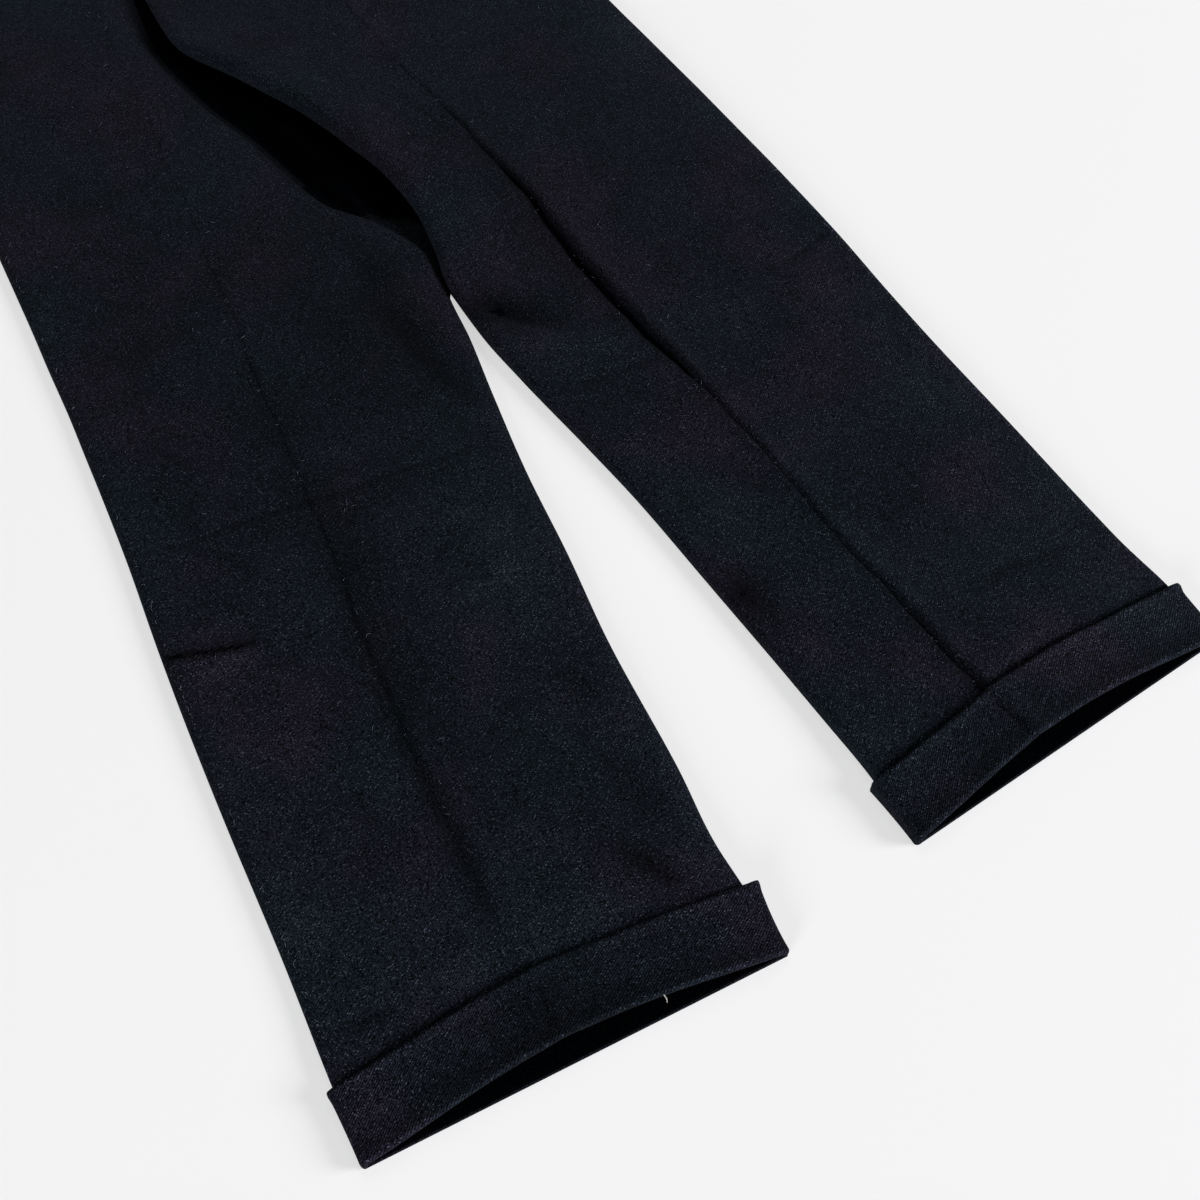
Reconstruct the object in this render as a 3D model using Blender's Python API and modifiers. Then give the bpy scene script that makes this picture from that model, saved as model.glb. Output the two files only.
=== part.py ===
# Wide wool trousers with turn-ups, lying front side up on a flat surface.
# Metres. x runs to the wearer's left, y from the hems up to the waist, z up from the surface.
# Each leg is a flattened tube: a back panel flat on the surface and a front panel arched over it.
# The left front lies over the right one from the fork up to the waist, and leaves a hollow
# beside the crotch where its rolled inner edge stands up.

import math
from collections import namedtuple

import bmesh
import bpy
import numpy as np

COLLECTION = "wool_trousers"

# Cloth
CLOTH = 0.0015            # thickness of one layer of the wool cloth
GAP = 0.0003              # space between pieces that meet at a seam
LAYER = CLOTH + GAP       # from the middle of one layer to the middle of the next
SEAM_FACE = (CLOTH + GAP) / 2

# Turn-ups: the leg's cloth goes down to the fold, up again outside, and its hem lies inside
TURNUP_DEPTH = 0.040
HEM_INSIDE = 0.030
TURNUP_MID = 0.015        # one more row between the fold and the hem's edge
HEM_END = LAYER           # where the leg panel ends inside the fold
RAMP_START = 0.044        # the back panel lies on its turn-up up to here,
RAMP_END = 0.090          # and is down on the surface again here
FOLD_ANGLES = (45, 90, 135)
FOLD_RISE = 3 * GAP       # how much higher the fold's ends lie than the layers it joins
HEM_SET_BACK = 0.0100     # how far the front hem's middle lies behind the back hem
SET_BACK_FADE = 0.150
SET_BACK_POWER = 1.3      # above 1 the set-back keeps more to the middle

# Waist
WAIST_SEAM = 1.018
WAIST_TOP = 1.058
WAIST_FADE = 0.880
FRONT_DIP = -0.010        # the front waist dips at its middle, the back waist rises
BACK_RISE = 0.014
BAND_CLOTH = 0.0024
BAND_UNDERLAP = 0.038     # how far the right band runs under the left one
BAND_LIFT = 0.0042        # from the right band up to the left band over it
BAND_LAP_RISE = 0.0007    # how much the left band rises over the end of the right one

# Edges and creases
EDGE_ROUND = 0.012        # width of the roll where a front panel turns down to its seam
STAND = 0.0010            # upright strip at the end of a front panel
HEM_STAND = 0.0020        # how much taller it is at the hem, where three layers end above each other
CREASE_WIDTH = 0.007
CREASE_RIDGE = {"right": 0.0022, "left": 0.0030}
BELLY = 0.2               # how far cloth between two heights bulges, as a share of their difference
FOLD_CLEAR = (0.3, 1.5)   # folds fade out between these distances from an edge, in edge rolls

# Each leg's hem is cut square to the leg, so its rows lean by this slope until the fork.
# The drop says how much further down than the other leg's its hem lies
HEM_SLOPE = {"right": -0.102, "left": 0.027}
HEM_DROP = {"right": 0.0016, "left": -0.0014}
SLOPE_END = 0.430

# How far the top edge of a turn-up stands out sideways from the leg
FLARE_POWER = 1.5
FLARE = {"right": {"inner": 0.0065, "outer": 0.0015}, "left": {"inner": 0.0030, "outer": 0.0030}}

# Button
BUTTON_RADIUS = 0.0080
BUTTON_THICK = 0.0028
BUTTON_HOLE = 0.0010
BUTTON_HOLE_SPREAD = 0.0015
BUTTON_HOLE_SIDES = 8
BUTTON_SHANK = 3 * GAP    # length of the sewing thread under the button
BUTTON_INSET = 0.016      # from the end of the left band to the button's middle
BUTTON_STEPS = 24

# Profile of the button from its middle on top, over its rim, to its middle below:
# shares of its radius and of its thickness
BUTTON_PROFILE = (
    (0.0, 0.71), (0.64, 0.71), (0.80, 1.0), (0.94, 1.0), (1.0, 0.75), (1.0, 0.35), (0.70, 0.0), (0.0, 0.0),
)

# Colour and roughness
WOOL = (0.0047, 0.0053, 0.0080)
WOOL_ROUGHNESS = 0.9
HORN = (0.012, 0.010, 0.009)
HORN_ROUGHNESS = 0.45

# Right front (left in the picture), a row for each section across the leg.
# outer, crease, lip and seam are x; top is the height of the cloth at the crease, rim at the outer edge.
# From the lip the cloth falls over the width fall to the height foot, then runs on to the seam.
RightRow = namedtuple("RightRow", "y outer rim crease top lip lip_z fall foot seam seam_z")
RIGHT_ROWS = (
    RightRow(0.000, -0.2905, 0.0105, -0.180, 0.0200, -0.0640, 0.0112, 0.0084, 0.0092, -0.0520, 0.0018),
    RightRow(0.060, -0.2855, 0.0095, -0.177, 0.0175, -0.0620, 0.0103, 0.0084, 0.0084, -0.0500, 0.0018),
    RightRow(0.120, -0.2800, 0.0085, -0.171, 0.0145, -0.0525, 0.0090, 0.0084, 0.0060, -0.0405, 0.0018),
    RightRow(0.200, -0.2742, 0.0085, -0.164, 0.0130, -0.0430, 0.0085, 0.0084, 0.0058, -0.0310, 0.0018),
    RightRow(0.270, -0.2682, 0.0085, -0.155, 0.0125, -0.0300, 0.0085, 0.0084, 0.0058, -0.0180, 0.0018),
    RightRow(0.330, -0.2620, 0.0085, -0.145, 0.0125, -0.0205, 0.0085, 0.0084, 0.0058, -0.0085, 0.0018),
    RightRow(0.400, -0.2535, 0.0085, -0.135, 0.0125, -0.0060, 0.0085, 0.0084, 0.0058, 0.0060, 0.0018),
    RightRow(0.450, -0.2485, 0.0085, -0.129, 0.0128, 0.0050, 0.0090, 0.0084, 0.0058, 0.0170, 0.0018),
    RightRow(0.490, -0.2450, 0.0085, -0.124, 0.0130, 0.0105, 0.0095, 0.0084, 0.0056, 0.0235, 0.0018),
    RightRow(0.530, -0.2415, 0.0085, -0.117, 0.0135, 0.0160, 0.0100, 0.0110, 0.0044, 0.0400, 0.0018),
    RightRow(0.570, -0.2390, 0.0085, -0.112, 0.0140, 0.0080, 0.0115, 0.0200, 0.0040, 0.0520, 0.0018),
    RightRow(0.610, -0.2360, 0.0085, -0.107, 0.0145, -0.0180, 0.0125, 0.0280, 0.0038, 0.0500, 0.0018),
    RightRow(0.650, -0.2335, 0.0085, -0.101, 0.0150, -0.0280, 0.0130, 0.0300, 0.0036, 0.0430, 0.0018),
    RightRow(0.700, -0.2305, 0.0090, -0.095, 0.0155, -0.0370, 0.0135, 0.0300, 0.0036, 0.0310, 0.0018),
    RightRow(0.760, -0.2270, 0.0090, -0.088, 0.0160, -0.0520, 0.0130, 0.0280, 0.0040, 0.0120, 0.0022),
    RightRow(0.830, -0.2235, 0.0090, -0.079, 0.0155, -0.0600, 0.0120, 0.0220, 0.0055, -0.0150, 0.0040),
    RightRow(0.880, -0.2190, 0.0085, -0.073, 0.0145, -0.0540, 0.0112, 0.0180, 0.0085, -0.0145, 0.0072),
    RightRow(0.940, -0.2050, 0.0080, -0.066, 0.0138, -0.0420, 0.0108, 0.0160, 0.0097, -0.0060, 0.0087),
    RightRow(1.018, -0.1760, 0.0080, -0.060, 0.0135, -0.0250, 0.0110, 0.0140, 0.0100, 0.0100, 0.0090),
    RightRow(1.058, -0.1700, 0.0080, -0.058, 0.0135, -0.0220, 0.0110, 0.0140, 0.0100, 0.0130, 0.0090),
)

# Left front. edge is the x of its inner fold, which stands up over the hollow: mid is the height of
# the fold's furthest point, roll its width and roll_z its top. Below the fold the cloth turns back
# under itself at the height under, and goes down to the seam. tuck is where that turn ends.
LeftRow = namedtuple("LeftRow", "y seam seam_z under tuck edge mid roll roll_z crease top outer rim")
LEFT_ROWS = (
    LeftRow(0.00, 0.04785, 0.0018, 0.0034, 0.00, 0.048, 0.0058, 0.014, 0.013, 0.135, 0.02, 0.2838, 0.0105),
    LeftRow(0.06, 0.04985, 0.0018, 0.0034, 0.00, 0.05, 0.0058, 0.014, 0.012, 0.133, 0.0175, 0.2832, 0.0095),
    LeftRow(0.12, 0.04825, 0.0018, 0.0034, 0.00, 0.0484, 0.0048, 0.012, 0.0098, 0.131, 0.0145, 0.284, 0.0085),
    LeftRow(0.20, 0.04485, 0.0018, 0.0034, 0.00, 0.045, 0.0048, 0.012, 0.0085, 0.128, 0.013, 0.2862, 0.0085),
    LeftRow(0.27, 0.04185, 0.0018, 0.0034, 0.00, 0.042, 0.0048, 0.012, 0.0085, 0.128, 0.0125, 0.2875, 0.0085),
    LeftRow(0.33, 0.03645, 0.0018, 0.0034, 0.00, 0.0366, 0.0048, 0.012, 0.0085, 0.124, 0.0125, 0.29, 0.0085),
    LeftRow(0.40, 0.02895, 0.0018, 0.0034, 0.00, 0.0291, 0.0048, 0.012, 0.009, 0.119, 0.013, 0.2942, 0.0085),
    LeftRow(0.45, 0.02545, 0.0018, 0.0034, 0.00, 0.0256, 0.005, 0.012, 0.01, 0.115, 0.0135, 0.2955, 0.0085),
    LeftRow(0.49, 0.0262, 0.0018, 0.004, 0.0008, 0.025, 0.0062, 0.013, 0.012, 0.116, 0.0145, 0.296, 0.0085),
    LeftRow(0.53, 0.04, 0.0018, 0.0062, 0.004, 0.0335, 0.0095, 0.014, 0.016, 0.116, 0.016, 0.296, 0.0085),
    LeftRow(0.57, 0.052, 0.0018, 0.0072, 0.007, 0.0388, 0.0125, 0.016, 0.021, 0.113, 0.018, 0.296, 0.0085),
    LeftRow(0.61, 0.05, 0.0018, 0.008, 0.008, 0.0365, 0.015, 0.018, 0.025, 0.11, 0.019, 0.2955, 0.0085),
    LeftRow(0.65, 0.043, 0.0018, 0.0085, 0.008, 0.0275, 0.0165, 0.018, 0.0268, 0.106, 0.0195, 0.295, 0.0085),
    LeftRow(0.70, 0.031, 0.0018, 0.0085, 0.008, 0.014, 0.0165, 0.018, 0.0265, 0.101, 0.0195, 0.294, 0.009),
    LeftRow(0.76, 0.012, 0.0022, 0.0085, 0.008, -0.01, 0.0155, 0.018, 0.0248, 0.099, 0.019, 0.294, 0.009),
    LeftRow(0.83, -0.015, 0.004, 0.0092, 0.008, -0.037, 0.0138, 0.016, 0.02, 0.098, 0.0175, 0.292, 0.009),
    LeftRow(0.88, -0.0145, 0.0072, 0.0114, 0.005, -0.0345, 0.0134, 0.01, 0.0166, 0.098, 0.0168, 0.287, 0.0085),
    LeftRow(0.94, -0.006, 0.0087, 0.012, 0.0012, -0.024, 0.0132, 0.003, 0.0144, 0.099, 0.016, 0.273, 0.008),
    LeftRow(1.018, 0.01, 0.009, 0.0123, 0.0012, -0.006, 0.0135, 0.003, 0.0147, 0.101, 0.0155, 0.246, 0.008),
    LeftRow(1.058, 0.013, 0.009, 0.0123, 0.0012, -0.002, 0.0135, 0.003, 0.0147, 0.101, 0.0155, 0.24, 0.008),
)

# Points of the left front's fold, as shares: how high two points stand below the turn, how far in
# the second one lies, and how far in and how high the fold's shoulder is
TURN_FOOT = 0.45
TURN_CORNER = (0.08, 0.92)
SHOULDER = (0.30, 0.72)

# Middle seam of the two back panels, above the point where the legs join
SeatRow = namedtuple("SeatRow", "y seam")
SEAT_ROWS = (
    SeatRow(0.490, 0.0248), SeatRow(0.530, 0.0400), SeatRow(0.570, 0.0520), SeatRow(0.610, 0.0500),
    SeatRow(0.650, 0.0430), SeatRow(0.700, 0.0330), SeatRow(0.760, 0.0240), SeatRow(0.830, 0.0240),
    SeatRow(0.940, 0.0320), SeatRow(1.018, 0.0350), SeatRow(1.058, 0.0350),
)

# Largest folds and dents of the fronts: a line in x and y, its height (below zero is a trough)
# and its width
Fold = namedtuple("Fold", "side x1 y1 x2 y2 height width")
FOLDS = (
    Fold("right", -0.275, 0.334, -0.205, 0.306, -0.0030, 0.0075),
    Fold("right", -0.250, 0.312, -0.195, 0.288, 0.0018, 0.0090),
    Fold("right", -0.024, 0.530, -0.004, 0.420, -0.0030, 0.0130),
    Fold("right", -0.165, 0.500, -0.185, 0.200, -0.0012, 0.0180),
    Fold("right", -0.086, 0.095, -0.076, 0.040, -0.0025, 0.0120),
    Fold("right", -0.246, 0.405, -0.015, 0.370, -0.0008, 0.0080),
    Fold("left", 0.038, 0.470, 0.090, 0.420, -0.0032, 0.0140),
    Fold("left", 0.060, 0.420, 0.125, 0.372, -0.0010, 0.0090),
    Fold("left", 0.062, 0.215, 0.060, 0.165, -0.0022, 0.0110),
)

# Places of the rows along the garment, closer together where the form changes quickly
STATIONS = (
    HEM_END, TURNUP_MID, HEM_INSIDE, TURNUP_DEPTH, 0.062, RAMP_END, 0.125, 0.165, 0.205, 0.245,
    0.275, 0.294, 0.306, 0.318, 0.331, 0.350, 0.375, 0.405, 0.430, 0.460,
    0.490, 0.510, 0.530, 0.550, 0.570, 0.590, 0.612, 0.640, 0.672, 0.705,
    0.740, 0.775, 0.810, 0.840, 0.868, 0.900, 0.940, 0.980, WAIST_SEAM - GAP / 2,
)
BAND_MIDDLE = (WAIST_SEAM + WAIST_TOP) / 2
BAND_STATIONS = (WAIST_SEAM + GAP / 2, BAND_MIDDLE, WAIST_TOP)

# How each stretch of a section is divided: even steps, or close to the crease
ONE = (1.0,)
TWO = (0.5, 1.0)
THREE = (1 / 3, 2 / 3, 1.0)
TO_CREASE = (0.50, 0.86, 1.0)
FROM_CREASE = (0.14, 0.50, 1.0)
ROLL_ANGLES = (30, 60, 90)
BACK_COLUMNS = 8

# Points of a front section that stand upright at each end, from the end inwards
UPRIGHT = {"right": ([0, 1], [-1, -2]), "left": ([0, 1, 2, 3, 4, 5], [-1, -2])}


def smooth(knots, values, at):
    """A curve through the values with no overshoot: cubic between knots, level at each peak."""
    knots, values, at = np.asarray(knots, float), np.asarray(values, float), np.asarray(at, float)
    step = np.diff(knots)
    slope = np.diff(values) / step
    lean = np.zeros(len(knots))
    product = slope[:-1] * slope[1:]
    total = slope[:-1] + slope[1:]
    same = product > 0
    lean[1:-1][same] = 2 * product[same] / total[same]
    lean[0], lean[-1] = slope[0], slope[-1]
    cell = np.clip(np.searchsorted(knots, at, side="right") - 1, 0, len(knots) - 2)
    t = np.clip((at - knots[cell]) / step[cell], 0.0, 1.0)
    rise = step[cell]
    keep = (1 + 2 * t) * (1 - t) ** 2 * values[cell] + t * t * (3 - 2 * t) * values[cell + 1]
    turn = t * (1 - t) ** 2 * rise * lean[cell] - t * t * (1 - t) * rise * lean[cell + 1]
    return keep + turn


def read_row(rows, y):
    """All named columns of a table at the place y, as one row."""
    places = [row.y for row in rows]
    values = {name: float(smooth(places, [getattr(row, name) for row in rows], y))
              for name in rows[0]._fields[1:]}
    return type(rows[0])(y=y, **values)


def fade(value, start, end):
    """1 at start and 0 at end, with level ends."""
    t = np.clip((value - start) / (end - start), 0.0, 1.0)
    return 1 - t * t * (3 - 2 * t)


def section(points, steps):
    """A smooth line through the section's points, divided as steps says, as (x, z) rows."""
    points = np.array(points)
    length = np.concatenate([[0], np.cumsum(np.hypot(*np.diff(points, axis=0).T))])
    places = [0.0]
    for start, end, parts in zip(length[:-1], length[1:], steps):
        places += [start + part * (end - start) for part in parts]
    return np.column_stack([smooth(length, points[:, 0], places), smooth(length, points[:, 1], places)])


def raise_at_hem(y):
    """How far the turn-up's outer layer lifts the panel off the surface."""
    return LAYER * fade(y, RAMP_START, RAMP_END)


def stand_height(y):
    """Height of the upright strip at y."""
    return STAND + HEM_STAND * fade(y, RAMP_START, RAMP_END)


def outer_roll(outer, inward, foot_z, rim, stand=STAND):
    """Points of the roll from the seam at the outer edge up to the rim; inward is +1 or -1 in x."""
    start = foot_z + stand
    points = [(outer, foot_z), (outer, start)]
    for angle in ROLL_ANGLES:
        a = math.radians(angle)
        points.append((outer + inward * EDGE_ROUND * (1 - math.cos(a)), start + (rim - start) * math.sin(a)))
    return points


def between(a, b, belly=BELLY):
    """A point halfway between two others, a little higher than the straight line."""
    return ((a[0] + b[0]) / 2, (a[1] + b[1]) / 2 + belly * abs(b[1] - a[1]))


def right_section(y):
    """Section of the right front from its outer seam to its inner one."""
    row = read_row(RIGHT_ROWS, y)
    lift = raise_at_hem(y)
    stand = stand_height(y)
    roll = outer_roll(row.outer + CLOTH / 2, 1, CLOTH + GAP + lift, row.rim, stand)
    crease = (row.crease, row.top)
    lip = (row.lip, row.lip_z)
    end = row.seam - SEAM_FACE
    rest = [between(roll[-1], crease), crease, between(crease, lip), lip]
    rest += [(row.lip + row.fall, row.foot), (end, row.seam_z + lift + stand), (end, row.seam_z + lift)]
    steps = [ONE] * 4 + [TWO, TO_CREASE, FROM_CREASE, TWO, THREE, TWO, ONE]
    return section(roll + rest, steps), row, row.outer, row.seam


def left_section(y):
    """Section of the left front from its inner seam, round its fold, to its outer seam."""
    row = read_row(LEFT_ROWS, y)
    lift = raise_at_hem(y)
    start = row.seam + SEAM_FACE
    edge = row.edge + CLOTH / 2
    seam_z, under = row.seam_z + lift, row.under + lift
    turn = edge + row.tuck
    mid = row.mid + lift
    inner = [(start, seam_z), (start, seam_z + TURN_FOOT * (under - seam_z))]
    inner.append((start + TURN_CORNER[0] * (turn - start), seam_z + TURN_CORNER[1] * (under - seam_z)))
    inner += [(turn, under), (edge, mid)]
    inner.append((edge + SHOULDER[0] * row.roll, mid + SHOULDER[1] * (row.roll_z - mid)))
    top = (edge + row.roll, row.roll_z)
    crease = (row.crease, row.top)
    roll = outer_roll(row.outer - CLOTH / 2, -1, CLOTH + GAP + lift, row.rim, stand_height(y))[::-1]
    points = inner + [top, between(top, crease, 0.0), crease, between(crease, roll[0])] + roll
    steps = [ONE, ONE, ONE, TWO, TWO, TWO, TWO, TO_CREASE, FROM_CREASE, TWO] + [ONE] * 4
    return section(points, steps), row, row.edge, row.outer


def fold_height(side, x, y):
    """Sum of the folds at a place: each is a soft ridge or trough along its line."""
    total = np.zeros_like(x)
    for fold in FOLDS:
        if fold.side != side:
            continue
        dx, dy = fold.x2 - fold.x1, fold.y2 - fold.y1
        t = np.clip(((x - fold.x1) * dx + (y - fold.y1) * dy) / (dx * dx + dy * dy), 0, 1)
        away = np.hypot(x - fold.x1 - t * dx, y - fold.y1 - t * dy)
        total += fold.height * np.exp(-(away / fold.width) ** 2)
    return total


def lay(side, y, x, low, high, front):
    """The y of each point of a row: the row leans with the hem, and the front and back of the
    hem and of the waist part in the middle of their width."""
    middle = (low + high) / 2
    placed = y + (HEM_SLOPE[side] * (x - middle) - HEM_DROP[side]) * fade(y, 0.0, SLOPE_END)
    across = np.clip((x - low) / (high - low), 0, 1)
    if front:
        placed += HEM_SET_BACK * max(0.0, 1 - y / SET_BACK_FADE) * np.sin(math.pi * across) ** SET_BACK_POWER
    waist_low, waist_high = RIGHT_ROWS[-2].outer, LEFT_ROWS[-2].outer
    waist = np.clip((x - waist_low) / (waist_high - waist_low), 0, 1)
    part = FRONT_DIP if front else BACK_RISE
    return placed + part * (1 - fade(y, WAIST_FADE, WAIST_SEAM)) * np.sin(math.pi * waist)


def front_row(side, y):
    """One row of a front panel in space, from low x to high x."""
    line, row, low, high = right_section(y) if side == "right" else left_section(y)
    x, z = line[:, 0], line[:, 1].copy()
    placed = lay(side, y, x, low, high, True)
    inside = np.minimum(x - low, high - x)
    weight = 1 - fade(inside, FOLD_CLEAR[0] * EDGE_ROUND, FOLD_CLEAR[1] * EDGE_ROUND)
    weight[UPRIGHT[side][0]] = 0.0
    z += weight * fold_height(side, x, placed)
    z += weight * CREASE_RIDGE[side] * np.exp(-((x - row.crease) / CREASE_WIDTH) ** 2)
    return np.column_stack([x, placed, z])


def surface(name, rows, thickness):
    """An open sheet through the rows of points, given its thickness by Solidify."""
    grid = np.array(rows)
    down, across = grid.shape[:2]
    mesh = bpy.data.meshes.new(name)
    cell = np.arange(down * across).reshape(down, across)
    faces = np.stack([cell[:-1, :-1], cell[:-1, 1:], cell[1:, 1:], cell[1:, :-1]], -1).reshape(-1, 4)
    mesh.from_pydata(grid.reshape(-1, 3).tolist(), [], faces.tolist())
    mesh.shade_smooth()
    piece = bpy.data.objects.new(name, mesh)
    wall = piece.modifiers.new("wall", "SOLIDIFY")
    wall.thickness = thickness
    wall.offset = 0.0
    wall.use_even_offset = False
    finish(piece, WOOL, WOOL_ROUGHNESS)
    return piece


def finish(piece, colour, roughness):
    """Own material of a piece, and its place in the collection."""
    material = bpy.data.materials.new(piece.name)
    material.use_nodes = True
    shader = material.node_tree.nodes["Principled BSDF"]
    shader.inputs["Base Color"].default_value = (*colour, 1.0)
    shader.inputs["Roughness"].default_value = roughness
    shader.inputs["Metallic"].default_value = 0.0
    piece.data.materials.append(material)
    bpy.data.collections[COLLECTION].objects.link(piece)


def front_panel(side):
    """Front of one leg and of its half of the body."""
    rows = [front_row(side, y) for y in STATIONS]
    return surface("front_" + side, rows, CLOTH)


def back_limits(side, y):
    """Outer and inner x of a back panel at y, as low and high."""
    if side == "right":
        row = read_row(RIGHT_ROWS, y)
        inner = row.seam if y < SEAT_ROWS[0].y else read_row(SEAT_ROWS, y).seam
        return row.outer, inner - GAP / 2
    row = read_row(LEFT_ROWS, y)
    inner = row.seam if y < SEAT_ROWS[0].y else read_row(SEAT_ROWS, y).seam
    return inner + GAP / 2, row.outer


def back_panel(side):
    """Back of one leg, flat on the surface, lifted at the hem by its own turn-up."""
    rows = []
    for y in STATIONS:
        low, high = back_limits(side, y)
        x = np.linspace(low, high, BACK_COLUMNS)
        z = np.full_like(x, CLOTH / 2 + raise_at_hem(y))
        rows.append(np.column_stack([x, lay(side, y, x, low, high, False), z]))
    return surface("back_" + side, rows, CLOTH)


def turnup_path():
    """Rows of a turn-up from its top edge outside, round the fold, to the hem's edge inside:
    the place along the leg, the side of the panel (1 outside, -1 inside), the reach below
    the panel's end, and the share of the flare."""
    path = []
    for y in (TURNUP_DEPTH, HEM_INSIDE, TURNUP_MID, HEM_END):
        path.append((y, 1.0, 0.0, ((y - HEM_END) / (TURNUP_DEPTH - HEM_END)) ** FLARE_POWER))
    for angle in FOLD_ANGLES:
        a = math.radians(angle)
        path.append((HEM_END, math.cos(a), math.sin(a), 0.0))
    for y in (HEM_END, TURNUP_MID, HEM_INSIDE):
        path.append((y, -1.0, 0.0, 0.0))
    return path


def unit(vectors):
    return vectors / np.linalg.norm(vectors, axis=-1, keepdims=True)


def stretch_end(row, upright, end_z):
    """Stretch the upright points at one end of a row, so that it ends at the height end_z."""
    z = row[upright, 2].copy()
    row[upright, 2] = end_z + (z - z[0]) * (z[-1] - end_z) / (z[-1] - z[0])


def turnup_front(side):
    """Front half of a turn-up: it follows the front panel, one layer outside and one inside."""
    rows = []
    for y, out, reach, share in turnup_path():
        middle, above = front_row(side, y), front_row(side, y + STAND)
        up = unit(above - middle)
        step = unit(np.diff(middle, axis=0))
        along = np.concatenate([step[:1], (step[:-1] + step[1:]) / 2, step[-1:]])
        normal = unit(np.cross(along, up)) / np.linalg.norm(along, axis=1, keepdims=True)
        for upright, way in zip(UPRIGHT[side], (-1.0, 1.0)):
            normal[upright[:-1]] = (way, 0.0, 0.0)
        sides = FLARE[side]
        low, high = ("outer", "inner") if side == "right" else ("inner", "outer")
        sideways = np.where(normal[:, 0] < 0, sides[low], sides[high]) * np.abs(normal[:, 0]) ** 2
        row = middle + normal * (LAYER * out + share * sideways)[:, None] - up * LAYER * reach
        end_z = CLOTH + GAP + LAYER * (1 - out) + FOLD_RISE * reach
        for upright in UPRIGHT[side]:
            stretch_end(row, upright, end_z)
        rows.append(row)
    return surface("turnup_front_" + side, rows[::-1], CLOTH)


def turnup_back(side):
    """Back half of a turn-up: flat layers under and over the end of the back panel."""
    rows = []
    for y, out, reach, share in turnup_path():
        low, high = back_limits(side, y)
        low_flare, high_flare = FLARE[side]["outer"], FLARE[side]["inner"]
        if side == "left":
            low_flare, high_flare = high_flare, low_flare
        reach_out = LAYER * out - GAP * reach
        x = np.linspace(low - reach_out - share * low_flare, high + reach_out + share * high_flare, BACK_COLUMNS)
        placed = lay(side, y, x, low, high, False) - LAYER * reach
        z = np.full_like(x, CLOTH / 2 + LAYER * (1 - out))
        rows.append(np.column_stack([x, placed, z]))
    return surface("turnup_back_" + side, rows, CLOTH)


def waistband_front(side):
    """Front band of one side. The left one lies over the right one at the middle."""
    rows = []
    foot_z = BAND_CLOTH + GAP
    for y in BAND_STATIONS:
        right, left = read_row(RIGHT_ROWS, y), read_row(LEFT_ROWS, y)
        level = right.foot
        if side == "right":
            roll = outer_roll(right.outer + CLOTH / 2, 1, foot_z, right.rim)
            crease, end = (right.crease, right.top), (left.edge + BAND_UNDERLAP, level)
            flat = (left.edge - EDGE_ROUND, level)
            points = roll + [between(roll[-1], crease), crease, between(crease, flat, 0.0), flat, end]
            steps = [ONE] * 4 + [ONE, TWO, TWO, ONE, THREE]
        else:
            roll = outer_roll(left.outer - CLOTH / 2, -1, foot_z, left.rim)[::-1]
            crease, end = (left.crease, left.top), (left.edge + CLOTH / 2, level + BAND_LIFT)
            flat = (left.edge + BAND_UNDERLAP, level + BAND_LIFT + BAND_LAP_RISE)
            points = [end, flat, between(flat, crease, 0.0), crease, between(crease, roll[0])] + roll
            steps = [THREE, ONE, TWO, TWO, ONE] + [ONE] * 4
        line = section(points, steps)
        placed = lay(side, y, line[:, 0], right.outer, left.outer, True)
        rows.append(np.column_stack([line[:, 0], placed, line[:, 1]]))
    return surface("waistband_front_" + side, rows, BAND_CLOTH)


def waistband_back(side):
    """Back band of one side, flat on the surface."""
    rows = []
    for y in BAND_STATIONS:
        low, high = back_limits(side, y)
        x = np.linspace(low, high, BACK_COLUMNS)
        rows.append(np.column_stack([x, lay(side, y, x, low, high, False), np.full_like(x, BAND_CLOTH / 2)]))
    return surface("waistband_back_" + side, rows, BAND_CLOTH)


def waist_button():
    """Four-hole button on the end of the left band: a turned profile, with its holes cut."""
    left, right = read_row(LEFT_ROWS, BAND_MIDDLE), read_row(RIGHT_ROWS, BAND_MIDDLE)
    x = left.edge + BUTTON_INSET
    base = right.foot + BAND_LIFT + BAND_CLOTH / 2 + BUTTON_SHANK
    placed = float(lay("left", BAND_MIDDLE, np.array([x]), right.outer, left.outer, True)[0])
    mesh = bpy.data.meshes.new("waist_button")
    points = [(out * BUTTON_RADIUS, 0, up * BUTTON_THICK) for out, up in BUTTON_PROFILE]
    mesh.from_pydata(points, [(i, i + 1) for i in range(len(points) - 1)], [])
    button = bpy.data.objects.new("waist_button", mesh)
    button.location = (x, placed, base)
    turn = button.modifiers.new("turn", "SCREW")
    turn.steps = turn.render_steps = BUTTON_STEPS
    turn.use_merge_vertices = True
    turn.merge_threshold = 0.00001
    turn.use_smooth_shade = True
    drill = bmesh.new()
    for quarter in range(4):
        a = math.radians(45 + 90 * quarter)
        hole = bmesh.ops.create_cone(
            drill, cap_ends=True, segments=BUTTON_HOLE_SIDES,
            radius1=BUTTON_HOLE, radius2=BUTTON_HOLE, depth=4 * BUTTON_THICK,
        )
        place = (BUTTON_HOLE_SPREAD * math.cos(a), BUTTON_HOLE_SPREAD * math.sin(a), 0)
        bmesh.ops.translate(drill, verts=hole["verts"], vec=place)
    cutter_mesh = bpy.data.meshes.new("button_holes")
    drill.to_mesh(cutter_mesh)
    drill.free()
    cutter = bpy.data.objects.new("button_holes", cutter_mesh)
    cutter.parent = button
    cutter.hide_render = True
    cutter.display_type = "WIRE"
    bpy.data.collections[COLLECTION + "_cutters"].objects.link(cutter)
    holes = button.modifiers.new("holes", "BOOLEAN")
    holes.object = cutter
    holes.operation = "DIFFERENCE"
    finish(button, HORN, HORN_ROUGHNESS)
    return button


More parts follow.
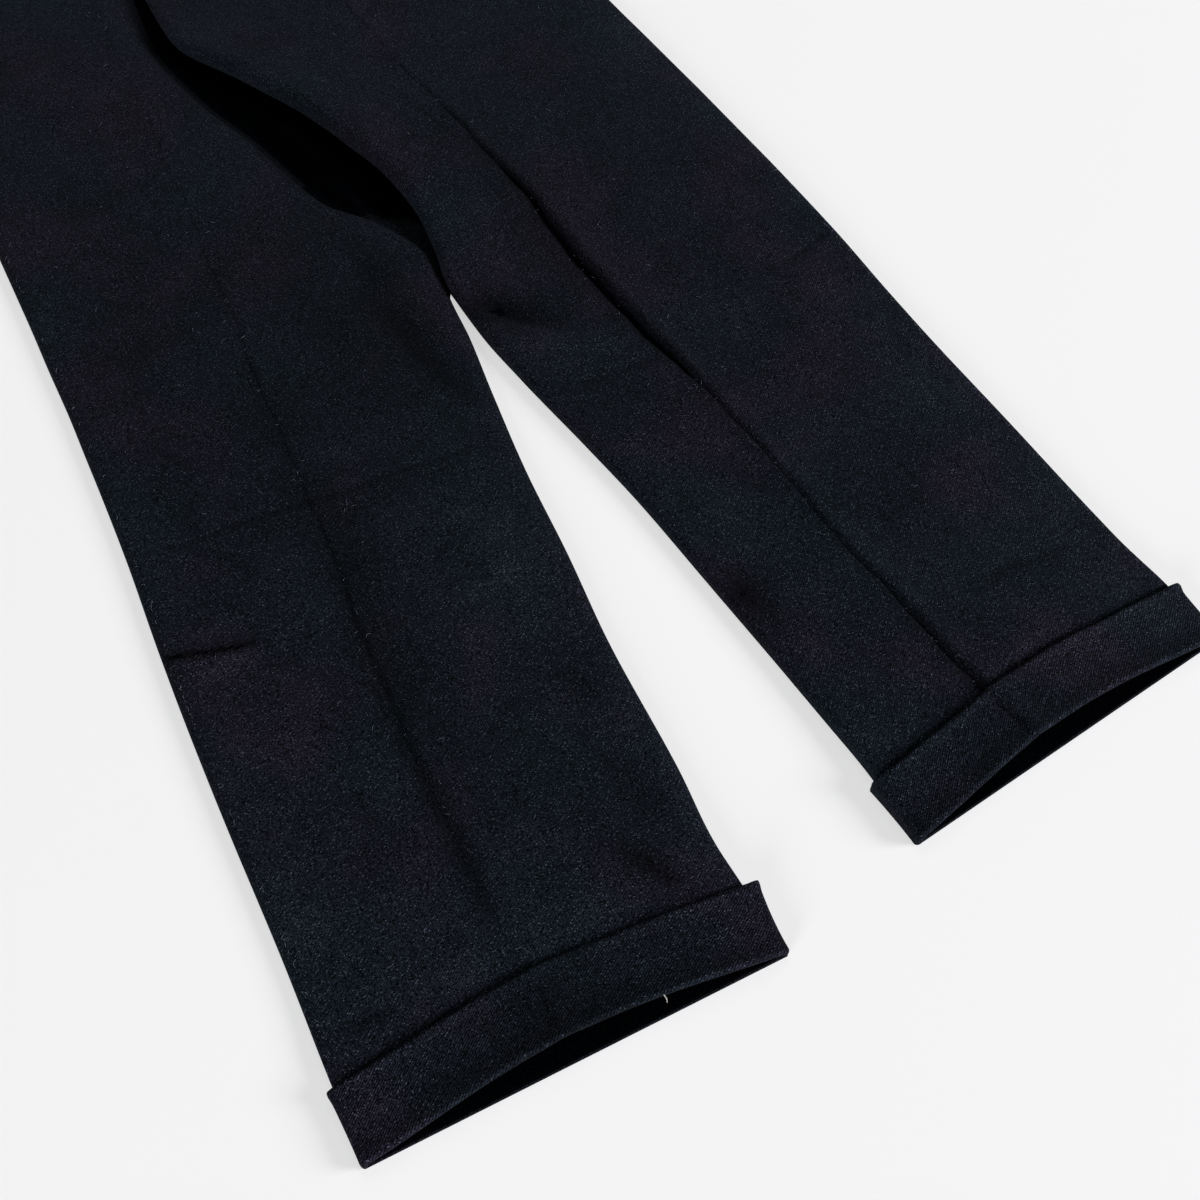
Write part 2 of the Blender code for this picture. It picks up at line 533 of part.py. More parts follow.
def centre_on_origin(pieces):
    """Parent the pieces to an empty placed so that the middle of their box is over the origin."""
    bpy.context.view_layer.update()
    evaluated = bpy.context.evaluated_depsgraph_get()
    corners = []
    for piece in pieces:
        shape = piece.evaluated_get(evaluated)
        corners += [shape.matrix_world @ vertex.co for vertex in shape.data.vertices]
    points = np.array(corners)
    low, high = points.min(axis=0), points.max(axis=0)
    centre = bpy.data.objects.new("trousers_centre", None)
    centre.location = (-(low[0] + high[0]) / 2, -(low[1] + high[1]) / 2, -low[2])
    bpy.data.collections[COLLECTION].objects.link(centre)
    for piece in pieces:
        piece.parent = centre


def build():
    for old in list(bpy.data.objects):
        bpy.data.objects.remove(old, do_unlink=True)
    for name in (COLLECTION, COLLECTION + "_cutters"):
        bpy.context.scene.collection.children.link(bpy.data.collections.new(name))
    pieces = []
    for side in ("right", "left"):
        pieces += [front_panel(side), back_panel(side), turnup_front(side), turnup_back(side)]
        pieces += [waistband_front(side), waistband_back(side)]
    pieces.append(waist_button())
    centre_on_origin(pieces)


build()
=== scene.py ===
# Wide-leg wool trousers with turn-ups, laid front side up: the looks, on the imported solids.
# Metres. x to the wearer's left, y from the hems up to the waist, z up from the surface.
# Sizes below are in the garment's own axes: y is 0 at the hems and x is 0 between the legs.

import math

import bpy
import numpy as np
from mathutils import Matrix, Vector


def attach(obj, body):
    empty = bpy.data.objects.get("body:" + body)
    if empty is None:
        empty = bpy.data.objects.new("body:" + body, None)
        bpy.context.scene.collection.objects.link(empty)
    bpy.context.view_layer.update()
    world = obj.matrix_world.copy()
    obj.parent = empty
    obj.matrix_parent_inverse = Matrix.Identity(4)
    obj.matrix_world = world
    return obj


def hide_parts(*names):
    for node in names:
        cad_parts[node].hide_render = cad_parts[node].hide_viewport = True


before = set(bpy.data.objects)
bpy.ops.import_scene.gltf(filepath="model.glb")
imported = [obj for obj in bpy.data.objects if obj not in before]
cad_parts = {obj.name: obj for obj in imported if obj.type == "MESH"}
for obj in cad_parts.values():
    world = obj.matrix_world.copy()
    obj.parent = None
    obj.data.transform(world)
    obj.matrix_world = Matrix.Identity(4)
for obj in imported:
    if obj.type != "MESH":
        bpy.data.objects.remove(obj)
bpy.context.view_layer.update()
print("frame loaded")

garment = {
    "shiftX": -0.00192,       # from the garment's axes to the frame's
    "shiftY": -0.52877,
    "cloth": 0.0015,          # one layer of the wool
    "gap": 0.0003,            # between pieces at a seam
    "bandCloth": 0.0024,      # waistband, which is stiffened
}
layer = garment["cloth"] + garment["gap"]


def fadeOut(value, start, end):  # 1 at start, 0 at end, level at both
    t = np.clip((value - start) / (end - start), 0.0, 1.0)
    return 1 - t * t * (3 - 2 * t)


def tangents(knots, values):  # along axis 1: harmonic mean of the two slopes, 0 at a peak
    step = np.maximum(np.diff(knots, axis=1), 1e-9)
    slope = np.diff(values, axis=1) / step
    product, total = slope[:, :-1] * slope[:, 1:], slope[:, :-1] + slope[:, 1:]
    lean = np.zeros_like(values)
    lean[:, 1:-1] = np.where(product > 0, 2 * product / np.where(total == 0, 1, total), 0)
    lean[:, 0], lean[:, -1] = slope[:, 0], slope[:, -1]
    return lean


def hermite(knots, values, cell, t):  # cubic through the knots with no overshoot, at the part t of each cell
    lean = tangents(knots, values)
    width = knots[:, cell + 1] - knots[:, cell]
    keep = (1 + 2 * t) * (1 - t) ** 2 * values[:, cell] + t * t * (3 - 2 * t) * values[:, cell + 1]
    turn = t * (1 - t) ** 2 * width * lean[:, cell] - t * t * (1 - t) * width * lean[:, cell + 1]
    return keep + turn


def readTable(rows, at):  # every column of a table at the places in at; the first column is the place
    table = np.array(rows, float)
    knots = table[:, 0]
    cell = np.clip(np.searchsorted(knots, at, side="right") - 1, 0, len(knots) - 2)
    t = np.clip((at - knots[cell]) / (knots[cell + 1] - knots[cell]), 0, 1)
    return [hermite(knots[None], column[None], cell, t)[0] for column in table.T[1:]]


def drawSection(points, steps):
    # points (row, point, 2) to a smooth line (row, column, 2); steps are the count of columns in each stretch
    # and how they crowd: evenly at 1, near the stretch's start above 1, near its end below -1
    gone = np.hypot(*np.moveaxis(np.diff(points, axis=1), -1, 0))
    length = np.concatenate([np.zeros((len(points), 1)), np.cumsum(gone, axis=1)], axis=1)
    cell, part = [0], [0.0]
    for number, (count, pack) in enumerate(steps):
        u = np.arange(1, count + 1) / count
        part += list(u ** pack if pack > 0 else 1 - (1 - u) ** -pack)
        cell += [number] * count
    cell, part = np.array(cell), np.array(part)
    return np.stack([hermite(length, points[..., k], cell, part) for k in (0, 1)], axis=-1)


def soft(x, y, seed, size):  # smooth uneven relief between about -1 and 1: nine waves in set directions
    total = np.zeros_like(x)
    for wave in range(9):
        turn = seed * 1.7 + wave * 2.399
        long = size * (0.6 + 0.17 * wave)
        along = (x * math.cos(turn) + y * math.sin(turn)) * 2 * math.pi / long
        total += np.sin(along + seed * 3.1 + wave * 1.9 + 0.8 * np.sin(along * 0.37 + wave))
    return total / 4.0


def meshFromGrid(name, grid, tone=None, materials=()):
    # grid (row, column, 3) in garment axes; the map is the length across and along the cloth in metres;
    # tone (row, column) darkens or lightens the cloth and carries painted shade and painted light, and faces
    # darker than a quarter take the second material, the matt painted-shade one
    down, wide = grid.shape[:2]
    points = grid + np.array([garment["shiftX"], garment["shiftY"], 0.0])
    index = np.arange(down * wide).reshape(down, wide)
    right, left = index[:, 1:], index[:, :-1]
    faces = np.stack([left[:-1], right[:-1], right[1:], left[1:]], axis=-1).reshape(-1, 4)
    mesh = bpy.data.meshes.new(name)
    mesh.vertices.add(down * wide)
    mesh.vertices.foreach_set("co", points.reshape(-1).astype(np.float32))
    mesh.loops.add(faces.size)
    mesh.loops.foreach_set("vertex_index", faces.reshape(-1).astype(np.int32))
    mesh.polygons.add(len(faces))
    mesh.polygons.foreach_set("loop_start", np.arange(0, faces.size, 4, dtype=np.int32))
    mesh.update(calc_edges=True)
    mesh.polygons.foreach_set("use_smooth", np.ones(len(faces), dtype=bool))
    step = np.linalg.norm(np.diff(grid, axis=1), axis=2)
    across = np.concatenate([np.zeros((down, 1)), np.cumsum(step, axis=1)], axis=1)
    across = across - across[:, -1:] / 2
    step = np.linalg.norm(np.diff(grid, axis=0), axis=2).mean(axis=1)
    along = np.broadcast_to(np.concatenate([[0], np.cumsum(step)])[:, None], (down, wide))
    clothMap = mesh.uv_layers.new(name="clothMap")
    flat = np.stack([across, along], axis=-1).reshape(-1, 2)
    clothMap.data.foreach_set("uv", flat[faces.reshape(-1)].reshape(-1).astype(np.float32))
    tone = np.ones((down, wide)) if tone is None else tone
    toneOf = mesh.attributes.new("tone", "FLOAT", "POINT")
    toneOf.data.foreach_set("value", tone.reshape(-1).astype(np.float32))
    for material in materials:
        mesh.materials.append(material)
    if len(materials) > 1:
        dark = tone.reshape(-1)[faces].mean(axis=1) < 0.25
        mesh.polygons.foreach_set("material_index", dark.astype(np.int32))
    piece = bpy.data.objects.new(name, mesh)
    bpy.context.scene.collection.objects.link(piece)
    return piece


def giveWall(piece, thickness):  # half of the thickness on each side of the middle of the cloth
    wall = piece.modifiers.new("wall", "SOLIDIFY")
    wall.thickness = thickness
    wall.offset = 0.0
    wall.use_even_offset = False
    return piece


def declareCloth(piece, nodes):  # hangs the piece from the root and hides the solids it stands in for
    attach(piece, "root")
    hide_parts(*nodes)


def linear(code):  # "#rrggbb" in sRGB to linear
    parts = [int(code[i:i + 2], 16) / 255 for i in (1, 3, 5)]
    return tuple(c / 12.92 if c <= 0.04045 else ((c + 0.055) / 1.055) ** 2.4 for c in parts) + (1.0,)


def addNode(tree, kind, inputs=None, **settings):
    # a node with its settings; inputs are values, sockets or nodes, of which the first output is taken
    node = tree.nodes.new(kind)
    for name, value in settings.items():
        setattr(node, name, value)
    for name, value in (inputs or {}).items():
        if isinstance(value, bpy.types.Node):
            value = value.outputs[0]
        if isinstance(value, bpy.types.NodeSocket):
            tree.links.new(value, node.inputs[name])
        else:
            node.inputs[name].default_value = value
    return node


def startMaterial(name):
    material = bpy.data.materials.new(name)
    material.use_nodes = True
    tree = material.node_tree
    tree.nodes.clear()
    output = addNode(tree, "ShaderNodeOutputMaterial")
    shader = addNode(tree, "ShaderNodeBsdfPrincipled")
    tree.links.new(shader.outputs["BSDF"], output.inputs["Surface"])
    return material, tree, shader


wool = {
    "ground": "#13171e",      # the ground of the cloth, navy that is nearly black
    "blue": "#131a20",        # bluer patches
    "plum": "#18161f",        # warmer patches
    "fibre": "#8892a2",       # pale guard fibres and lint in the nap
    "fuzz": "#9aa4b8",        # the sheen of the nap at a low angle
    "patch": 0.090,           # size of the colour patches
    "cloud": 0.045,           # soft clouds of lighter and darker nap
    "cloudShare": 0.30,
    "tuft": 0.0010,           # a tuft of fulled fibres
    "tuftTone": 2.45,         # the palest tufts against the ground
    "twill": 0.0013,          # spacing of the twill lines, real ones are 0.9 mm
    "twillTurn": 52,          # degrees
    "fibreLong": 0.0036,
    "fibreWide": 0.0015,      # real ones are 0.05 mm, too fine to show
    "fibreTurns": (0.45, 2.2),
    "relief": 0.0004,
    "roughness": 0.95,
}
waveLength = 0.314            # of Blender's wave texture at a scale of 1


def makeWool(name, twillShare, fibreShare=0.48, sheen=0.055):
    # fulled wool flannel: a milled twill whose nap hides most of the weave; dull, pale fuzz at a low angle
    material, tree, shader = startMaterial(name)
    spot = addNode(tree, "ShaderNodeTexCoord").outputs["Object"]
    cloth = addNode(tree, "ShaderNodeUVMap", uv_map="clothMap")
    # the tone attribute, with the painted shade and painted light it carries
    toneWithShade = addNode(tree, "ShaderNodeAttribute", attribute_name="tone").outputs["Fac"]   # 1 on plain cloth

    patches = addNode(tree, "ShaderNodeTexNoise", {"Vector": spot, "Scale": 1 / wool["patch"], "Detail": 2.0})
    ground = addNode(tree, "ShaderNodeValToRGB", {"Fac": patches})
    ramp = ground.color_ramp.elements
    ramp[0].position, ramp[0].color = 0.34, linear(wool["blue"])
    ramp[1].position, ramp[1].color = 0.66, linear(wool["plum"])
    ramp.new(0.5).color = linear(wool["ground"])

    # twill: leaning lines, broken where the nap covers them
    lines = addNode(tree, "ShaderNodeMapping", {
        "Vector": cloth, "Rotation": (0.0, 0.0, math.radians(wool["twillTurn"]))})
    weave = addNode(tree, "ShaderNodeTexWave", {
        "Vector": lines, "Scale": waveLength / wool["twill"], "Distortion": 1.6, "Detail": 1.0,
        "Detail Scale": 1.5}, wave_type="BANDS", bands_direction="X").outputs["Fac"]
    woven = addNode(tree, "ShaderNodeMapRange", {
        "Value": weave, "To Min": 1 - twillShare, "To Max": 1 + twillShare})

    # melange: light and dark fibres that lie beside each other, at about the size of a tuft
    tufts = addNode(tree, "ShaderNodeTexNoise", {
        "Vector": spot, "Scale": 1 / wool["tuft"], "Detail": 2.0, "Roughness": 0.75})
    rough = addNode(tree, "ShaderNodeMapRange", {
        "Value": tufts, "From Min": 0.40, "From Max": 0.64, "To Min": 0.0, "To Max": wool["tuftTone"]})
    clouds = addNode(tree, "ShaderNodeTexNoise", {
        "Vector": spot, "Scale": 1 / wool["cloud"], "Detail": 5.0, "Roughness": 0.65})
    cloudy = addNode(tree, "ShaderNodeMapRange", {
        "Value": clouds, "From Min": 0.3, "From Max": 0.7,
        "To Min": 1 - wool["cloudShare"], "To Max": 1 + wool["cloudShare"]})
    tone = rough
    for share in (woven, toneWithShade, cloudy):
        tone = addNode(tree, "ShaderNodeMath", {0: tone, 1: share}, operation="MULTIPLY")
    melange = addNode(tree, "ShaderNodeMix", {0: 1.0, 6: ground, 7: tone}, data_type="RGBA",
                      blend_type="MULTIPLY").outputs[2]

    # pale guard fibres: short dashes at two angles, each from a stretched cell pattern
    dashes = []
    for number, angle in enumerate(wool["fibreTurns"]):
        turned = addNode(tree, "ShaderNodeMapping", {
            "Vector": cloth, "Rotation": (0.0, 0.0, angle),
            "Scale": (1 / wool["fibreLong"], 1 / wool["fibreWide"], 1.0)})
        cells = addNode(tree, "ShaderNodeTexVoronoi", {"Vector": turned, "Scale": 1.0},
                        voronoi_dimensions="2D")
        near = addNode(tree, "ShaderNodeMapRange", {
            "Value": cells, "From Min": 0.03, "From Max": 0.17, "To Min": 1.0, "To Max": 0.0})
        chance = addNode(tree, "ShaderNodeSeparateColor", {"Color": cells.outputs["Color"]}).outputs[number]
        some = addNode(tree, "ShaderNodeMapRange", {
            "Value": chance, "From Min": 0.62, "To Max": fibreShare}, interpolation_type="SMOOTHSTEP")
        dashes.append(addNode(tree, "ShaderNodeMath", {0: near, 1: some}, operation="MULTIPLY"))
    both = addNode(tree, "ShaderNodeMath", {0: dashes[0], 1: dashes[1]}, operation="MAXIMUM")
    share = addNode(tree, "ShaderNodeMath", {0: both, 1: toneWithShade}, operation="MULTIPLY")
    colour = addNode(tree, "ShaderNodeMix", {0: share, 6: melange, 7: linear(wool["fibre"])},
                     data_type="RGBA")
    tree.links.new(colour.outputs[2], shader.inputs["Base Color"])

    relief = addNode(tree, "ShaderNodeMath", {0: weave, 1: twillShare, 2: tufts}, operation="MULTIPLY_ADD")
    bump = addNode(tree, "ShaderNodeBump", {"Strength": 0.7, "Distance": wool["relief"], "Height": relief})
    tree.links.new(bump.outputs["Normal"], shader.inputs["Normal"])
    shader.inputs["Roughness"].default_value = wool["roughness"]
    shader.inputs["Specular IOR Level"].default_value = 1.2 * sheen
    shader.inputs["Sheen Weight"].default_value = sheen
    shader.inputs["Sheen Roughness"].default_value = 0.45
    shader.inputs["Sheen Tint"].default_value = linear(wool["fuzz"])
    return material


legWool = makeWool("fulledWoolFlannel", 0.36)
cuffWool = makeWool("fulledWoolTurnUp", 0.70)
shadedWool = makeWool("fulledWoolPaintedShade", 0.28, 0.0, 0.0)   # painted shade: matt, no sheen, for faces whose tone is painted nearly black, as in the hollow and inside the mouths
print("cloth materials made")


legs = {
    "turnUpDepth": 0.040,
    "hemInside": 0.030,       # how far the hem goes up inside the leg
    "rampStart": 0.044,       # the leg rises over the turn-up's layers between these two
    "rampEnd": 0.090,
    "hemSetBack": 0.0100,     # the middle of a front's hem lies back by this, fading upwards
    "setBackFade": 0.150,
    "setBackPower": 1.3,
    "waistSeam": 1.018,
    "waistTop": 1.058,
    "waistFade": 0.880,       # from here up the waist dips in front and rises behind
    "frontDip": -0.010,
    "backRise": 0.014,
    "edgeRound": 0.012,       # width of the roll at a side seam
    "stand": 0.0010,          # upright part of the roll, and what the hem adds to it
    "hemStand": 0.0020,
    "hollowFall": 0.0080,     # the right front drops this steeply beside the fly
    "hemSlope": {"right": -0.102, "left": 0.027},
    "hemDrop": {"right": 0.0016, "left": -0.0014},
    "slopeEnd": 0.430,        # the hem's slope has faded here
    "rowStep": 0.0024,        # spacing of the rows of cloth points
    "closeRows": ((0.272, 0.338), (0.352, 0.410)),
}

# pressed creases, in mm: y, height of the ridge, its width, depth of the groove beside it, its width
creaseRows = {
    "right": (
        (0, 2.6, 9, 0.2, 2.0), (60, 1.4, 9, 0.3, 2.2), (95, 0.9, 9, 1.6, 4.6), (150, 0.7, 9, 2.0, 4.2),
        (230, 0.6, 8, 1.7, 3.0), (290, 0.6, 8, 1.3, 2.0), (330, 0.6, 8, 0.9, 1.8), (460, 0.7, 8, 1.0, 1.8),
        (600, 0.8, 8, 0.6, 1.6), (800, 1.2, 8, 0.3, 1.6), (1018, 1.4, 8, 0.2, 1.6), (1058, 1.4, 8, 0.2, 1.6),
    ),
    "left": (
        (0, 3.4, 8, 0.6, 2.0), (44, 3.0, 8, 2.6, 2.8), (84, 2.6, 8, 2.4, 2.2), (220, 2.4, 8, 1.5, 1.6),
        (320, 2.4, 8, 1.9, 1.8), (345, 2.6, 8, 3.6, 3.0), (400, 2.8, 9, 4.8, 4.4), (470, 2.8, 9, 4.6, 4.4),
        (540, 2.4, 9, 3.4, 3.4), (620, 2.0, 9, 1.7, 2.0), (700, 1.8, 8, 0.7, 1.6), (860, 1.6, 8, 0.3, 1.6),
        (1018, 1.6, 8, 0.2, 1.6), (1058, 1.6, 8, 0.2, 1.6),
    ),
}

# right front, in mm: y, outer edge, its height, crease, its height, lip, its height, fall, foot, seam,
# its height
rightRows = (
    (0, -290.5, 10.5, -180, 20, -64, 11.2, 8.4, 9.2, -52, 1.8),
    (60, -285.5, 9.5, -177, 17.5, -62, 10.3, 8.4, 8.4, -50, 1.8),
    (120, -280, 8.5, -171, 14.5, -52.5, 9, 8.4, 6, -40.5, 1.8),
    (200, -274.2, 8.5, -164, 13, -43, 8.5, 8.4, 5.8, -31, 1.8),
    (270, -268.2, 8.5, -155, 12.5, -30, 8.5, 8.4, 5.8, -18, 1.8),
    (330, -262, 8.5, -145, 12.5, -20.5, 8.5, 8.4, 5.8, -8.5, 1.8),
    (400, -253.5, 8.5, -135, 12.5, -6, 8.5, 8.4, 5.8, 6, 1.8),
    (450, -248.5, 8.5, -129, 12.8, 5, 9, 8.4, 5.8, 17, 1.8),
    (490, -245, 8.5, -124, 13, 13.5, 9.5, 8.4, 5.6, 23.5, 1.8),
    (530, -241.5, 8.5, -117, 13.5, 22, 9.8, 11, 4.4, 40, 1.8),
    (570, -239, 8.5, -112, 14, 8, 11.5, 20, 4, 52, 1.8),
    (610, -236, 8.5, -107, 14.5, -18, 12.5, 28, 3.8, 50, 1.8),
    (650, -233.5, 8.5, -101, 15, -28, 13, 30, 3.6, 43, 1.8),
    (700, -230.5, 9, -95, 15.5, -37, 13.5, 30, 3.6, 31, 1.8),
    (760, -227, 9, -88, 16, -52, 13, 28, 4, 12, 2.2),
    (830, -223.5, 9, -79, 15.5, -60, 12, 22, 5.5, -15, 4),
    (880, -219, 8.5, -73, 14.5, -54, 11.2, 18, 8.5, -14.5, 7.2),
    (940, -205, 8, -66, 13.8, -42, 10.8, 16, 9.7, -6, 8.7),
    (1018, -176, 8, -60, 13.5, -25, 11, 14, 10, 10, 9),
    (1058, -170, 8, -58, 13.5, -22, 11, 14, 10, 13, 9),
)

# left front, in mm: y, seam, its height, turn height, tuck, edge, its height, roll width, roll height,
# crease, its height, outer edge, its height
leftRows = (
    (0, 47.85, 1.8, 3.4, 0, 48, 5.8, 14, 13, 135, 20, 283.8, 10.5),
    (60, 49.85, 1.8, 3.4, 0, 50, 5.8, 14, 12, 133, 17.5, 283.2, 9.5),
    (120, 48.25, 1.8, 3.4, 0, 48.4, 4.8, 12, 9.8, 131, 14.5, 284, 8.5),
    (200, 44.85, 1.8, 3.4, 0, 45, 4.8, 12, 8.5, 128, 13, 286.2, 8.5),
    (270, 41.85, 1.8, 3.4, 0, 42, 4.8, 12, 8.5, 128, 12.5, 287.5, 8.5),
    (330, 36.45, 1.8, 3.4, 0, 36.6, 4.8, 12, 8.5, 124, 12.5, 290, 8.5),
    (400, 28.95, 1.8, 3.4, 0, 29.1, 4.8, 12, 9, 119, 13, 294.2, 8.5),
    (450, 25.45, 1.8, 3.4, 0, 25.6, 5, 12, 10, 115, 13.5, 295.5, 8.5),
    (490, 26.2, 1.8, 4, 0.8, 25, 6.2, 13, 12, 116, 14.5, 296, 8.5),
    (530, 40, 1.8, 6.2, 4, 33.5, 9.5, 14, 16, 116, 16, 296, 8.5),
    (570, 52, 1.8, 7.2, 7, 38.8, 12.5, 16, 21, 113, 18, 296, 8.5),
    (610, 50, 1.8, 8, 8, 36.5, 15, 18, 25, 110, 19, 295.5, 8.5),
    (650, 43, 1.8, 8.5, 8, 27.5, 16.5, 18, 26.8, 106, 19.5, 295, 8.5),
    (700, 31, 1.8, 8.5, 8, 14, 16.5, 18, 26.5, 101, 19.5, 294, 9),
    (760, 12, 2.2, 8.5, 8, -10, 15.5, 18, 24.8, 99, 19, 294, 9),
    (830, -15, 4, 9.2, 8, -37, 13.8, 16, 20, 98, 17.5, 292, 9),
    (880, -14.5, 7.2, 11.4, 5, -34.5, 13.4, 10, 16.6, 98, 16.8, 287, 8.5),
    (940, -6, 8.7, 12, 1.2, -24, 13.2, 3, 14.4, 99, 16, 273, 8),
    (1018, 10, 9, 12.3, 1.2, -6, 13.5, 3, 14.7, 101, 15.5, 246, 8),
    (1058, 13, 9, 12.3, 1.2, -2, 13.5, 3, 14.7, 101, 15.5, 240, 8),
)

# middle seam of the back, in mm: y, x
seatRows = (
    (490, 24.8), (530, 40), (570, 52), (610, 50), (650, 43), (700, 33),
    (760, 24), (830, 24), (940, 32), (1018, 35), (1058, 35),
)

rightRows, leftRows, seatRows = (np.array(rows) / 1000 for rows in (rightRows, leftRows, seatRows))

# folds and dents of the fronts, in mm: points of the line, height (below zero is a trough), width,
# and the height of the ridge that a trough pushes up beside it, if any
folds = {
    "right": (
        (((-278, 338), (-262, 326), (-242, 314), (-221, 305), (-200, 300)), 2.2, 4.5),
        (((-276, 346), (-258, 334), (-240, 322), (-216, 312)), -1.8, 3),
        (((-262, 300), (-235, 292), (-196, 286)), -0.9, 4, 0.4),
        (((-26, 556), (-24, 526), (-20, 490), (-16, 450), (-8, 412)), -6.5, 11),
        (((-30, 520), (-26, 480), (-20, 440)), 1.2, 6),
        (((-118, 500), (-128, 420), (-140, 300), (-158, 180), (-172, 90)), -3.0, 30),
        (((-72, 140), (-74, 100), (-82, 58)), -3.0, 14),
        (((-98, 80), (-88, 62), (-80, 42)), -1.6, 4.5, 0.6),
        (((-248, 397), (-214, 389), (-164, 382), (-112, 373), (-60, 366), (-12, 360)), -1.1, 3, 0.3),
        (((-150, 404), (-100, 396), (-30, 384)), -1.6, 12),
        (((-277, 75), (-256, 71), (-240, 69)), -1.6, 5, 0.4),
        (((-216, 195), (-202, 162), (-186, 134)), -1.2, 8, 0.3),
        (((-264, 170), (-244, 151), (-223, 134)), -1.0, 6, 0.3),
        (((-104, 271), (-77, 268), (-46, 272)), 1.2, 7),
        (((-58, 165), (-62, 130), (-66, 100)), -1.0, 7, 0.3),
        (((-111, 143), (-79, 131)), -0.8, 5, 0.2),
        (((-148, 331), (-158, 300), (-165, 276)), -0.8, 6, 0.2),
        (((-215, 560), (-190, 545), (-150, 548)), -0.7, 9, 0.2),
        (((-205, 700), (-160, 690), (-120, 700)), -0.8, 12),
        (((-147, 779), (-110, 770), (-77, 776)), -0.8, 10, 0.2),
        (((-190, 880), (-150, 860), (-110, 868)), -0.9, 12, 0.2),
        (((-170, 950), (-130, 938)), -0.8, 9),
    ),
    "left": (
        (((30, 490), (36, 468), (54, 444), (74, 414)), -6.5, 9),
        (((20, 434), (61, 414), (100, 386)), 2.4, 8),
        (((46, 374), (78, 366), (118, 358)), -1.4, 4, 0.5),
        (((66, 352), (96, 338)), -0.8, 6, 0.2),
        (((60, 192), (59, 158)), -2.6, 9),
        (((101, 262), (112, 244), (126, 222)), -1.5, 7, 0.3),
        (((169, 112), (214, 107), (258, 99)), -0.9, 5, 0.3),
        (((202, 254), (228, 233), (253, 207)), -0.9, 7, 0.2),
        (((232, 386), (262, 392), (290, 401)), -1.1, 3.4, 0.4),
        (((150, 300), (190, 285), (235, 290)), -0.7, 8, 0.2),
        (((-16, 793), (30, 778), (69, 763)), -0.9, 7, 0.3),
        (((60, 690), (85, 650), (90, 600)), -1.2, 12),
        (((170, 600), (215, 585), (262, 598)), -0.8, 11, 0.2),
        (((180, 740), (230, 725), (275, 735)), -0.8, 12, 0.2),
        (((150, 880), (200, 862), (250, 872)), -0.9, 11, 0.2),
        (((60, 950), (110, 934)), -0.7, 9),
    ),
}

